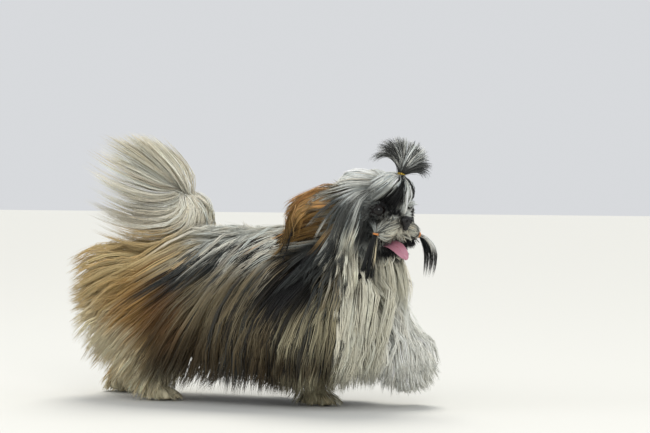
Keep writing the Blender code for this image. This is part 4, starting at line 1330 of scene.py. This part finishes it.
rng = np.random.default_rng(61)
guides, uv = grown(is_foot * (z_of > 0.004), 380, foot_length, lie_of_feet, rng, sway=0.001,
                   wavelength=0.03, lowest=(0.0006, 0.003), lift=0.3, steps=4)
coat_piece("coat_feet", guides, uv, rng, 5, (0.0008, 0.0015), (0.0036, 0.0018))

# The mane.
# Long hair from nape and throat. It sweeps back over the withers from the nape, and falls into
# the bib from the throat.
lie_of_neck = combed([
    (0.20, 0.00, 0.35, -1.0, 0.2, -0.25), (0.16, 0.00, 0.32, -1.0, 0.25, -0.35),
    (0.12, 0.00, 0.29, -1.0, 0.3, -0.45), (0.17, 0.06, 0.30, -0.85, 0.2, -0.6),
    (0.13, 0.07, 0.26, -0.8, 0.15, -0.65), (0.20, 0.07, 0.28, -0.55, 0.1, -0.9),
    (0.19, 0.08, 0.23, -0.4, 0.1, -1.0), (0.235, 0.05, 0.24, 0.1, 0.1, -1.0),
    (0.24, 0.00, 0.23, 0.4, 0.1, -1.0)], 0.05)


def neck_length(places):
    return 0.075 + 0.035 * ramp(places[:, 0], 0.19, 0.13)


rng = np.random.default_rng(71)
guides, uv = grown(is_neck * 1.0, 290, neck_length, lie_of_neck, rng, sway=0.0026, lift=0.8,
                   level=(0.6, 1.0))
coat_piece("coat_neck", guides, uv, rng, 7, (0.0010, 0.0017), (0.0048, 0.0028))

# The ears.
# Their fringes hang past the jaw and mix with the mane. The trot blows them back, golden brown
# with a black end.
lie_of_ears = combed([
    (0.19, 0.05, 0.335, -1.0, 0.35, -0.20), (0.16, 0.06, 0.328, -1.0, 0.25, -0.30),
    (0.13, 0.07, 0.312, -0.9, 0.10, -0.55), (0.115, 0.08, 0.290, -0.6, 0.0, -0.9),
    (0.20, 0.06, 0.31, -0.80, 0.35, -0.5), (0.16, 0.08, 0.300, -0.8, 0.15, -0.65),
    (0.18, 0.08, 0.28, -0.70, 0.15, -0.8), (0.15, 0.09, 0.265, -0.65, 0.05, -0.85),
    (0.12, 0.09, 0.24, -0.55, 0.0, -0.9)], 0.04)


DARK_TAN = colour(64, 53, 42)


def ear_length(places):
    return np.full(len(places), 0.138)


for side, name, count in ((RIGHT, "coat_ear_right", 280), (LEFT, "coat_ear_left", 165)):
    rng = np.random.default_rng(81 + side)
    guides, uv = grown(is_ear * (aside_of * side > 0) * (1 + ramp(up_of, -0.02, 0.01)), count, ear_length,
                       lie_of_ears, rng, level=(0.6, 1.0), lift=0.7)
    coat_piece(name, guides, uv, rng, 7, (0.0010, 0.0016), (0.0048, 0.0030),
               colouring=ear_markings, dark_shade=DARK_TAN, stray=0.016)

# The hair of crown and cheeks.
# Behind the parting it falls back over the skull and down over the ears, in long silver curves
# with slate and black between them.
lie_of_crown = combed([
    (0.020, 0.00, 0.056, -1.0, 0.3, 0.0), (-0.020, 0.00, 0.058, -1.0, 0.3, -0.30),
    (-0.050, 0.00, 0.040, -0.9, 0.2, -0.7), (0.012, 0.036, 0.040, -0.75, 0.6, -0.25),
    (0.004, 0.052, 0.020, -0.55, 0.4, -0.75), (-0.030, 0.052, 0.020, -0.80, 0.3, -0.60),
    (0.018, 0.056, -0.004, -0.30, 0.2, -1.0), (-0.005, 0.062, -0.012, -0.50, 0.1, -0.9),
    (-0.035, 0.062, -0.015, -0.75, 0.1, -0.75), (0.000, 0.060, -0.050, -0.35, 0.0, -1.0),
    (-0.035, 0.060, -0.050, -0.60, 0.0, -0.9), (-0.060, 0.00, 0.000, -0.8, 0.1, -0.8)],
    0.030, axes=head_axes)
eye_gap = np.minimum(*(np.linalg.norm(face_middle - eye_places[side], axis=1) for side in (RIGHT, LEFT)))
parting = 0.018 - 0.10 * np.maximum(up_of - 0.03, 0) - 0.004 * ramp(out_of, 0.03, 0.0)
is_crown = is_head & (forward_of < parting + 0.005) & (up_of > -0.030) & (eye_gap > 0.0185)


def crown_length(places):
    return 0.068 + 0.045 * ramp(to_head(places)[:, 2], -0.02, 0.03)


rng = np.random.default_rng(91)
by_parting = ramp(forward_of, parting - 0.018, parting - 0.002) * (up_of > 0.0)
guides, uv = grown(is_crown * (1 + 3.0 * by_parting), 385, crown_length, lie_of_crown, rng, sway=0.0016,
                   wavelength=0.07, level=(0.55, 1.0), lift=0.45, lowest=(-1, 0), start_out=0.15)
coat_piece("coat_crown", clear_of_eyes(guides), uv, rng, 7, (0.0008, 0.0014),
           (0.0038, 0.0026), stray=0.005, streaked=0.3)


def tied(density, count, target, room, rng, level, lift, steps=6, longer=1.06, start_out=0.15,
         puff=(0, 0, 0)):
    """Guides combed along the coat to a tie, where they all meet, puffed out midway."""
    places, normals, uv = spread_roots(density, count, rng)

    def lie(spots):
        return unit(target - spots)

    lengths = np.linalg.norm(target - places, axis=1) * longer
    levels = level[0] + (level[1] - level[0]) * rng.random(count) ** 0.6
    paths = comb(places, normals, lengths, lie, levels, steps * 2, lift, start_out=start_out)
    ends = target + rng.normal(0, 1, (count, 3)) * room
    local = to_head(places)
    sides = np.column_stack([np.ones(count), np.clip(local[:, 1] / 0.014, -1, 1), np.ones(count)])
    swell = np.sin(np.pi * np.linspace(0, 1, paths.shape[1]) ** 0.8)[None, :, None]
    ahead = ramp(local[:, 0], 0.020, 0.040) * (0.6 + 0.5 * rng.random(count))
    puffed = ((sides * puff) @ head_axes * ahead[:, None])[:, None, :] * swell
    return (draw_to(paths, ends) + puffed)[:, ::2], uv


# The forehead.
# Hair from the bridge of the nose, the brows and the temples is drawn up to the topknot's tie, in
# a pale blaze with a black stripe from each eye.
is_forehead = is_head & (forward_of >= parting - 0.004) & (up_of > -0.0185 + 0.0185 * ramp(out_of, 0.007, 0.022))
is_forehead = is_forehead & (eye_gap > 0.0150)
rng = np.random.default_rng(101)
guides, uv = tied(is_forehead * 1.0, 370, topknot_tie - (0, 0, 0.001), (0.0022, 0.0022, 0.0012), rng,
                  (0.55, 1.0), 0.45, puff=(0.0095, 0.0065, 0))
coat_piece("coat_forehead", clear_of_eyes(guides), uv, rng, 6, (0.0006, 0.0011),
           (0.0024, 0.0005), stray=0.0016, fray=0.03, streaked=0.0)

# The moustache.
# Hair from the sides of the nose, the lips and under the eyes is drawn to a tie on each side.
for side, name in ((RIGHT, "coat_moustache_right"), (LEFT, "coat_moustache_left")):
    rng = np.random.default_rng(111 + side)
    own_side = aside_of * side > 0.002
    on_lip = own_side & (forward_of > 0.014) & (up_of < -0.020) & (up_of > -0.052)
    density = is_head * on_lip * (eye_gap > 0.0145) * 1.0
    nose_gap = np.linalg.norm((face_on_head - (0.064, 0, -0.0225)) / (1, 1.1, 1), axis=1)
    density = density * (nose_gap > 0.0085)
    guides, uv = tied(density, 250, moustache_ties[side], (0.0014, 0.0014, 0.0010), rng, (0.6, 1.0), 0.6,
                      longer=1.15, steps=5)
    coat_piece(name, clear_of_eyes(guides), uv, rng, 6, (0.0006, 0.0010),
               (0.0018, 0.0004), stray=0.0012, fray=0.02, streaked=0.0)

# The short hair of the face.
# Velvety black hair round the eyes and over the cheeks, and a soft black chin.
lie_of_face = combed([
    (0.034, 0.030, 0.012, 0.1, 0.1, 1.0), (0.040, 0.010, 0.000, 0.3, 0.1, 1.0),
    (0.034, 0.048, -0.006, -0.4, 0.8, -0.3), (0.036, 0.030, -0.028, 0.1, 0.4, -1.0),
    (0.046, 0.016, -0.010, 0.3, -0.2, 0.8), (0.058, 0.000, -0.014, 0.2, 0.1, 1.0),
    (0.020, 0.045, -0.035, -0.2, 0.2, -1.0), (0.000, 0.050, -0.050, -0.5, 0.1, -1.0),
    (0.030, 0.015, -0.078, 0.35, 0.3, -1.0), (0.000, 0.020, -0.080, -0.1, 0.2, -1.0),
    (0.056, 0.010, -0.040, 0.2, 0.4, -1.0)], 0.016, axes=head_axes)
lid_reach = np.full(triangle_count, 9.0)
for side in (RIGHT, LEFT):
    axis = np.array(eye_axes[side])
    across = unit(np.cross((0, 0, 1), axis))
    way = unit(face_middle - eye_places[side])
    own = EYEBALL * np.hypot(way @ across / LID_HALF_WIDTH, way @ np.cross(axis, across) / LID_HALF_HEIGHT)
    on_lid = (way @ axis > 0) & (np.linalg.norm(face_middle - eye_places[side], axis=1) < 0.0125)
    lid_reach = np.where(on_lid, own, lid_reach)
is_jaw = (up_of < -0.045) & (forward_of > -0.030)
is_mouth = ((face_on_head - (0.052, 0, -0.059)) / (0.036, 0.022, 0.0085)) ** 2 @ np.ones(3) < 1
face_part = is_head & ((eye_gap < 0.0205) | ((forward_of > 0.004) & (up_of < -0.006)) | is_jaw)
face_part = face_part & (lid_reach > 1.08)
face_part = face_part & ~is_mouth & (nose_gap > 0.0080)


def face_length(places):
    local = to_head(places)
    gap = np.minimum(*(np.linalg.norm(places - eye_places[side], axis=1) for side in (RIGHT, LEFT)))
    return 0.0036 + 0.011 * ramp(gap, 0.0118, 0.022) + 0.012 * ramp(local[:, 2], -0.045, -0.070)


rng = np.random.default_rng(121)
guides, uv = grown(face_part * (1 + 2.0 * (eye_gap < 0.018) + 4.0 * (lid_reach < 1.9)), 1300,
                   face_length, lie_of_face, rng,
                   sway=0.0004, wavelength=0.02, level=(0.3, 0.9), lift=0.25, steps=4, lowest=(-1, 0),
                   start_out=0.3)
coat_piece("coat_face", clear_of_eyes(guides), uv, rng, 3, (0.0005, 0.0008),
           (0.0014, 0.0006), stray=0.0012)

# The tufts of the bridge, the brows and the beard.
# Before the inner corners of the eyes and over the left brow the hair grows forward and out in
# pale tufts, and a short black beard stands out on both sides of the lower lip.


def bend(starts, first, second, ends, steps):
    """Smooth curves from starts to ends, that leave towards first and arrive from second."""
    t = np.linspace(0, 1, steps + 1)[None, :, None]
    a, b, c, d = (points[:, None, :] for points in (starts, first, second, ends))
    return a * (1 - t) ** 3 + b * 3 * t * (1 - t) ** 2 + c * 3 * t ** 2 * (1 - t) + d * t ** 3


def pale_tufts(points):
    """Pale, but black beside the right eye, where its stripe comes down."""
    _, aside, up = to_head(points).T
    by_stripe = ramp(aside, 0.003, -0.003) * ramp(up, -0.019, -0.014)
    return laid(np.tile(FROST, (len(points), 1)), BLACK, by_stripe), np.full(len(points), 0.04)


def black_beard(points):
    return np.tile(BLACK, (len(points), 1)), np.zeros(len(points))


seen = np.column_stack([forward_of, aside_of, up_of])
# Each row: name, where the roots are, how many, the way they grow on the left, and their colours.
for seed, (name, slot_name, root_share, count, aim, length, colouring) in enumerate((
        ("coat_bridge", "coat_white", near(mirrored, (0.051, 0.013, -0.014), (0.010, 0.008, 0.007)), 150,
         (0.62, 0.40, 0.62), 0.018, pale_tufts),
        ("coat_brow_left", "coat_white", near(seen, (0.044, 0.022, 0.005), (0.009, 0.010, 0.005)), 60,
         (0.75, 0.52, -0.22), 0.017, pale_tufts),
        ("coat_beard", "coat_black", near(mirrored, (0.040, 0.015, -0.072), (0.014, 0.012, 0.008)), 110,
         (0.60, 0.55, -0.50), 0.015, black_beard),
        ("coat_lip_left", "coat_black", near(seen, (0.038, 0.026, -0.046), (0.013, 0.011, 0.009)), 80,
         (0.46, 0.28, -0.84), 0.024, black_beard))):
    rng = np.random.default_rng(201 + seed)
    starts, normals, uv = spread_roots(is_head * root_share * (nose_gap > 0.008), count, rng)
    local = to_head(starts)
    aim_each = unit(np.column_stack([np.ones(count), np.sign(local[:, 1]), np.ones(count)]) * aim
                    + rng.normal(0, 0.16, (count, 3)))
    reach = length * (0.65 + 0.35 * rng.random(count))[:, None]
    first = local + (unit(to_head(starts + normals) - local) + aim_each) * reach * 0.2
    tips = local + aim_each * reach
    second = local + aim_each * reach * 0.65 + (0, 0, 0.0012)
    guides = bend(starts, on_head(first), on_head(second), on_head(tips), 5)
    coat_piece(name, guides, uv, rng, 5, (0.0005, 0.0009), (0.0018, 0.0009), stray=0.001,
               colouring=colouring, dark_shade=GREY)

# The throat.
# Long hair from under the chin swells out over the breast before it hangs, in white and slate.
THROAT_GUIDES = 80
rng = np.random.default_rng(211)
throat_share = near(seen, (0.012, 0.004, -0.076), (0.018, 0.034, 0.014))
starts, normals, uv = spread_roots(is_head * throat_share, THROAT_GUIDES, rng)
local = to_head(starts)
reach = (0.75 + 0.35 * rng.random(THROAT_GUIDES))[:, None]
tips = local * (1, 1.15, 1) + reach * (0.021, 0.0, -0.072) + rng.normal(0, 0.003, (THROAT_GUIDES, 3))
first = local + reach * (0.016, 0.0, -0.010)
second = tips + reach * (0.003, 0.0, 0.034)
guides = wave(bend(starts, on_head(first), on_head(second), on_head(tips), 7), 0.0016, 0.05, rng)
coat_piece("coat_throat", guides, uv, rng, 6, (0.0009, 0.0015), (0.0046, 0.0034), stray=0.004,
           streaked=0.1, uneven=0.6)

# The tail.
# It is carried up over the back. Its plume fans up and back from the bone, and the lower locks
# fall forward first, and turn back under the plume in thick silky curves.


def uv_near(places):
    """The skin's own map at the nearest place on it."""
    found = []
    for place in places:
        index = skin_tree.find_nearest(Vector(place))[2]
        polygon = skin.data.polygons[index]
        found.append(skin_uv[list(polygon.loop_indices)].mean(axis=0))
    return np.array(found)


# One lock's line per row, in the plane of the tail: (x, z) from its root on the bone to its tip.
# The first two hug the bone, the next fall forward and turn back under it, and the last stand up.
PLUME = np.array([
    [(-0.074, 0.252), (-0.068, 0.272), (-0.071, 0.290), (-0.082, 0.306), (-0.099, 0.318), (-0.122, 0.327), (-0.150, 0.334)],
    [(-0.084, 0.254), (-0.078, 0.274), (-0.081, 0.293), (-0.092, 0.307), (-0.108, 0.316), (-0.131, 0.323), (-0.160, 0.330)],
    [(-0.104, 0.318), (-0.080, 0.306), (-0.067, 0.284), (-0.082, 0.254), (-0.130, 0.232), (-0.192, 0.235), (-0.238, 0.250)],
    [(-0.105, 0.319), (-0.085, 0.308), (-0.073, 0.288), (-0.088, 0.260), (-0.135, 0.241), (-0.200, 0.249), (-0.252, 0.268)],
    [(-0.106, 0.320), (-0.090, 0.309), (-0.080, 0.291), (-0.096, 0.269), (-0.142, 0.258), (-0.206, 0.268), (-0.262, 0.286)],
    [(-0.108, 0.322), (-0.097, 0.311), (-0.090, 0.296), (-0.110, 0.280), (-0.156, 0.273), (-0.216, 0.286), (-0.272, 0.308)],
    [(-0.110, 0.324), (-0.105, 0.313), (-0.107, 0.301), (-0.130, 0.293), (-0.172, 0.294), (-0.226, 0.310), (-0.279, 0.334)],
    [(-0.114, 0.326), (-0.122, 0.319), (-0.138, 0.315), (-0.162, 0.316), (-0.196, 0.324), (-0.240, 0.341), (-0.284, 0.362)],
    [(-0.116, 0.330), (-0.130, 0.331), (-0.148, 0.336), (-0.172, 0.345), (-0.204, 0.359), (-0.243, 0.377), (-0.278, 0.394)],
    [(-0.116, 0.332), (-0.129, 0.343), (-0.146, 0.356), (-0.166, 0.370), (-0.192, 0.386), (-0.222, 0.401), (-0.252, 0.414)],
    [(-0.112, 0.330), (-0.121, 0.346), (-0.134, 0.362), (-0.150, 0.377), (-0.170, 0.392), (-0.192, 0.407), (-0.214, 0.420)],
    [(-0.100, 0.318), (-0.106, 0.335), (-0.113, 0.351), (-0.124, 0.367), (-0.140, 0.383), (-0.158, 0.399), (-0.176, 0.413)]])
PLUME_LOCKS = 110
rng = np.random.default_rng(131)
count = 500
bundle = rng.integers(0, PLUME_LOCKS, count)
bundle_row = 2 + 9 * (np.arange(PLUME_LOCKS) + 0.5) / PLUME_LOCKS
bundle_row[::9] = rng.uniform(0, 1, len(bundle_row[::9]))
bundle_side = rng.uniform(-1, 1, PLUME_LOCKS)
side_way = np.clip(bundle_side[bundle] + rng.normal(0, 0.10, count), -1, 1)
row = bundle_row[bundle]
lowest_row = np.where(row < 1.5, 0, 2)
highest_row = np.where(row < 1.5, 1, len(PLUME) - 1)
row = np.clip(row + rng.normal(0, 0.32, count), lowest_row, highest_row)
first = np.minimum(row.astype(int), highest_row - 1)
part = (row - first)[:, None, None]
lines = PLUME[first] * (1 - part) + PLUME[first + 1] * part
fanned = 0.008 + 0.031 * np.sin(np.pi * 0.62 * np.linspace(0, 1, 7))
low_lock = 1 + 0.9 * ramp(row, 6.5, 4.0) * (row > 1.5) * (side_way < 0)
lines = np.stack([lines[:, :, 0], (side_way * low_lock)[:, None] * fanned, lines[:, :, 1]], axis=-1)
lines[:, 1:] += rng.normal(0, 0.0022, (count, 1, 3))
guides = np.moveaxis(curve_through(np.moveaxis(lines, 1, 0), 8), 0, 1)
guides = cut_back(guides, 7 * (1 - 0.24 * rng.random(count) ** 2))
guides = wave(guides, 0.0032, 0.08, rng)
coat_piece("coat_tail", guides, uv_near(guides[:, 0]), rng, 6, (0.0012, 0.0020),
           (0.0042, 0.0046), fray=0.12)

# The topknot.
# Above its tie the hair of the forehead stands up and falls open in a fan, black and white, with
# one lock back over the crown and one that droops in front.
# One lock's line per row: (sideways in the fan, up) from the tie to its tip, from the lock that
# arches back over the crown to the one that droops in front.
FAN = np.array([
    [(0, 0), (-0.002, 0.010), (-0.008, 0.020), (-0.018, 0.027), (-0.030, 0.028), (-0.040, 0.021), (-0.047, 0.012)],
    [(0, 0), (-0.001, 0.011), (-0.006, 0.022), (-0.014, 0.031), (-0.024, 0.036), (-0.034, 0.037), (-0.042, 0.034)],
    [(0, 0), (0.000, 0.012), (-0.003, 0.024), (-0.008, 0.035), (-0.015, 0.044), (-0.022, 0.050), (-0.028, 0.053)],
    [(0, 0), (0.001, 0.012), (0.000, 0.025), (-0.002, 0.036), (-0.006, 0.046), (-0.011, 0.053), (-0.014, 0.058)],
    [(0, 0), (0.001, 0.012), (0.003, 0.024), (0.004, 0.035), (0.005, 0.045), (0.005, 0.052), (0.004, 0.057)],
    [(0, 0), (0.003, 0.010), (0.008, 0.021), (0.013, 0.031), (0.018, 0.039), (0.022, 0.045), (0.024, 0.050)],
    [(0, 0), (0.004, 0.008), (0.011, 0.018), (0.019, 0.026), (0.026, 0.033), (0.032, 0.038), (0.037, 0.040)],
    [(0, 0), (0.005, 0.006), (0.013, 0.014), (0.022, 0.020), (0.031, 0.025), (0.038, 0.027), (0.042, 0.026)],
    [(0, 0), (0.005, 0.004), (0.013, 0.009), (0.023, 0.013), (0.033, 0.015), (0.042, 0.013), (0.048, 0.009)],
    [(0, 0), (0.005, 0.002), (0.013, 0.005), (0.022, 0.007), (0.031, 0.007), (0.038, 0.002), (0.041, -0.006)],
    [(0, 0), (0.005, 0.001), (0.012, 0.003), (0.021, 0.004), (0.029, 0.002), (0.034, -0.004), (0.036, -0.012)]])
FAN_ACROSS = np.array((0.643, 0.766, 0.0))
FAN_DEPTH = np.array((0.766, -0.643, 0.0))
TOPKNOT_GUIDES = 300
rng = np.random.default_rng(141)
tie_on_head = to_head(topknot_tie[None])[0]
row = rng.random(TOPKNOT_GUIDES) ** 1.15 * (len(FAN) - 1)
first = np.minimum(row.astype(int), len(FAN) - 2)
part = (row - first)[:, None, None]
lines = FAN[first] * (1 - part) + FAN[first + 1] * part
open_out = np.linspace(0, 1, 7)[None, :, None]
depth = rng.normal(0, 0.0085, TOPKNOT_GUIDES)[:, None, None] * open_out ** 0.9
lines = tie_on_head + lines[:, :, :1] * FAN_ACROSS + depth * FAN_DEPTH + lines[:, :, 1:] * (0, 0, 1)
lines = lines + rng.normal(0, 1, (TOPKNOT_GUIDES, 1, 3)) * (0.0016, 0.0016, 0.0005) * (1 + open_out)
guides = np.moveaxis(curve_through(np.moveaxis(on_head(lines), 1, 0), 8), 0, 1)
guides = cut_back(guides, 7 * (1 - 0.35 * rng.random(TOPKNOT_GUIDES) ** 1.5))
guides = wave(guides, 0.0010, 0.04, rng)


def topknot_markings(points):
    """Dark at its root and underneath, and streaked grey and white above."""
    local = to_head(points) - tie_on_head
    across, up = local @ FAN_ACROSS, local[:, 2]
    shade = np.tile(FROST, (len(points), 1))
    under = ramp(up - 0.50 * across, 0.004, -0.002) * ramp(across, 0.0, 0.006)
    root = ramp(np.hypot(across, up), 0.018, 0.008)
    dark = 0.50 + 0.3 * ramp(across, 0.0, -0.02) + 0.9 * under + 0.35 * root
    return laid(shade, SLATE, 0.3 * root), np.clip(dark, 0, 1)


coat_topknot = coat_piece("coat_topknot", guides, uv_near(guides[:, 0]), rng, 6,
                          (0.0006, 0.0011), (0.0020, 0.0028), colouring=topknot_markings,
                          dark_shade=BLACK, stray=0.0015, streaked=0.0)
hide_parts("topknot")

# The ends of the moustache.
# Past its tie each end hangs free, black with a white outer side on the left.
MOUSTACHE_LINE = {
    RIGHT: [(0.045, -0.0432, -0.042), (0.042, -0.046, -0.060), (0.037, -0.048, -0.090), (0.033, -0.050, -0.119)],
    LEFT: [(0.045, 0.0430, -0.045), (0.048, 0.057, -0.052), (0.049, 0.068, -0.076), (0.044, 0.066, -0.112)]}
# How far each of an end's tips stands to the side of the others in the view of the fan.
MOUSTACHE_TIPS = {RIGHT: (-0.0125, -0.0020, 0.0035), LEFT: (-0.0020, 0.0, 0.0020)}


def moustache_markings(points):
    local = to_head(points)
    middle = {side: curve_through(MOUSTACHE_LINE[side], 40) for side in (RIGHT, LEFT)}
    pale = np.zeros(len(points))
    shade = np.tile(SLATE, (len(points), 1))
    on_right = local[:, 1] < 0
    for side, toward, edge, colour_of, lowest in ((RIGHT, FAN_ACROSS, 0.0026, CREAM, -0.092),
                                                  (LEFT, FAN_ACROSS, 0.0010, WHITE, -0.074)):
        nearest = np.linalg.norm(local[:, None] - middle[side][None], axis=2).argmin(axis=1)
        gap = local - middle[side][nearest]
        outer = ramp(gap @ toward, edge, edge + 0.0014)
        outer = outer * ramp(local[:, 2], lowest, lowest + 0.012) * (on_right == (side == RIGHT))
        shade = laid(shade, colour_of, outer)
        pale = pale + outer
    return shade, 0.75 - 0.70 * np.clip(pale, 0, 1)


END_GUIDES = 92
for side, name, node in ((RIGHT, "coat_moustache_end_right", "moustache_tail_right"),
                         (LEFT, "coat_moustache_end_left", "moustache_tail_left")):
    rng = np.random.default_rng(151 + side)
    centre_line = on_head(curve_through(MOUSTACHE_LINE[side], 8))
    angle = rng.random(END_GUIDES) * 2 * np.pi
    radius = np.sqrt(rng.random(END_GUIDES))
    t = np.linspace(0, 1, 8)
    width = 0.0016 + (0.0088 if side == LEFT else 0.0046) * np.sin(np.pi * t * 0.80) ** 1.2
    sideways = np.column_stack([np.cos(angle), np.sin(angle), np.zeros(END_GUIDES)]) * radius[:, None]
    guides = centre_line[None] + sideways[:, None, :] * width[None, :, None]
    tip = np.array(MOUSTACHE_TIPS[side])[np.argsort(np.argsort(sideways @ (FAN_ACROSS @ head_axes))) * 3 // END_GUIDES]
    guides = guides + tip[:, None, None] * (t ** 2.2)[None, :, None] * (FAN_ACROSS @ head_axes)
    reach = 0.86 + 0.18 * rng.random(END_GUIDES)
    guides = cut_back(guides, 7 * np.minimum(reach, 1))
    guides = wave(guides, 0.0008, 0.03, rng)
    ending = coat_piece(name, guides, uv_near(guides[:, 0]), rng, 5, (0.0006, 0.0010),
                        (0.0018, 0.0009), colouring=moustache_markings, dark_shade=BLACK, stray=0.001,
                        streaked=0.0)
    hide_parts(node)
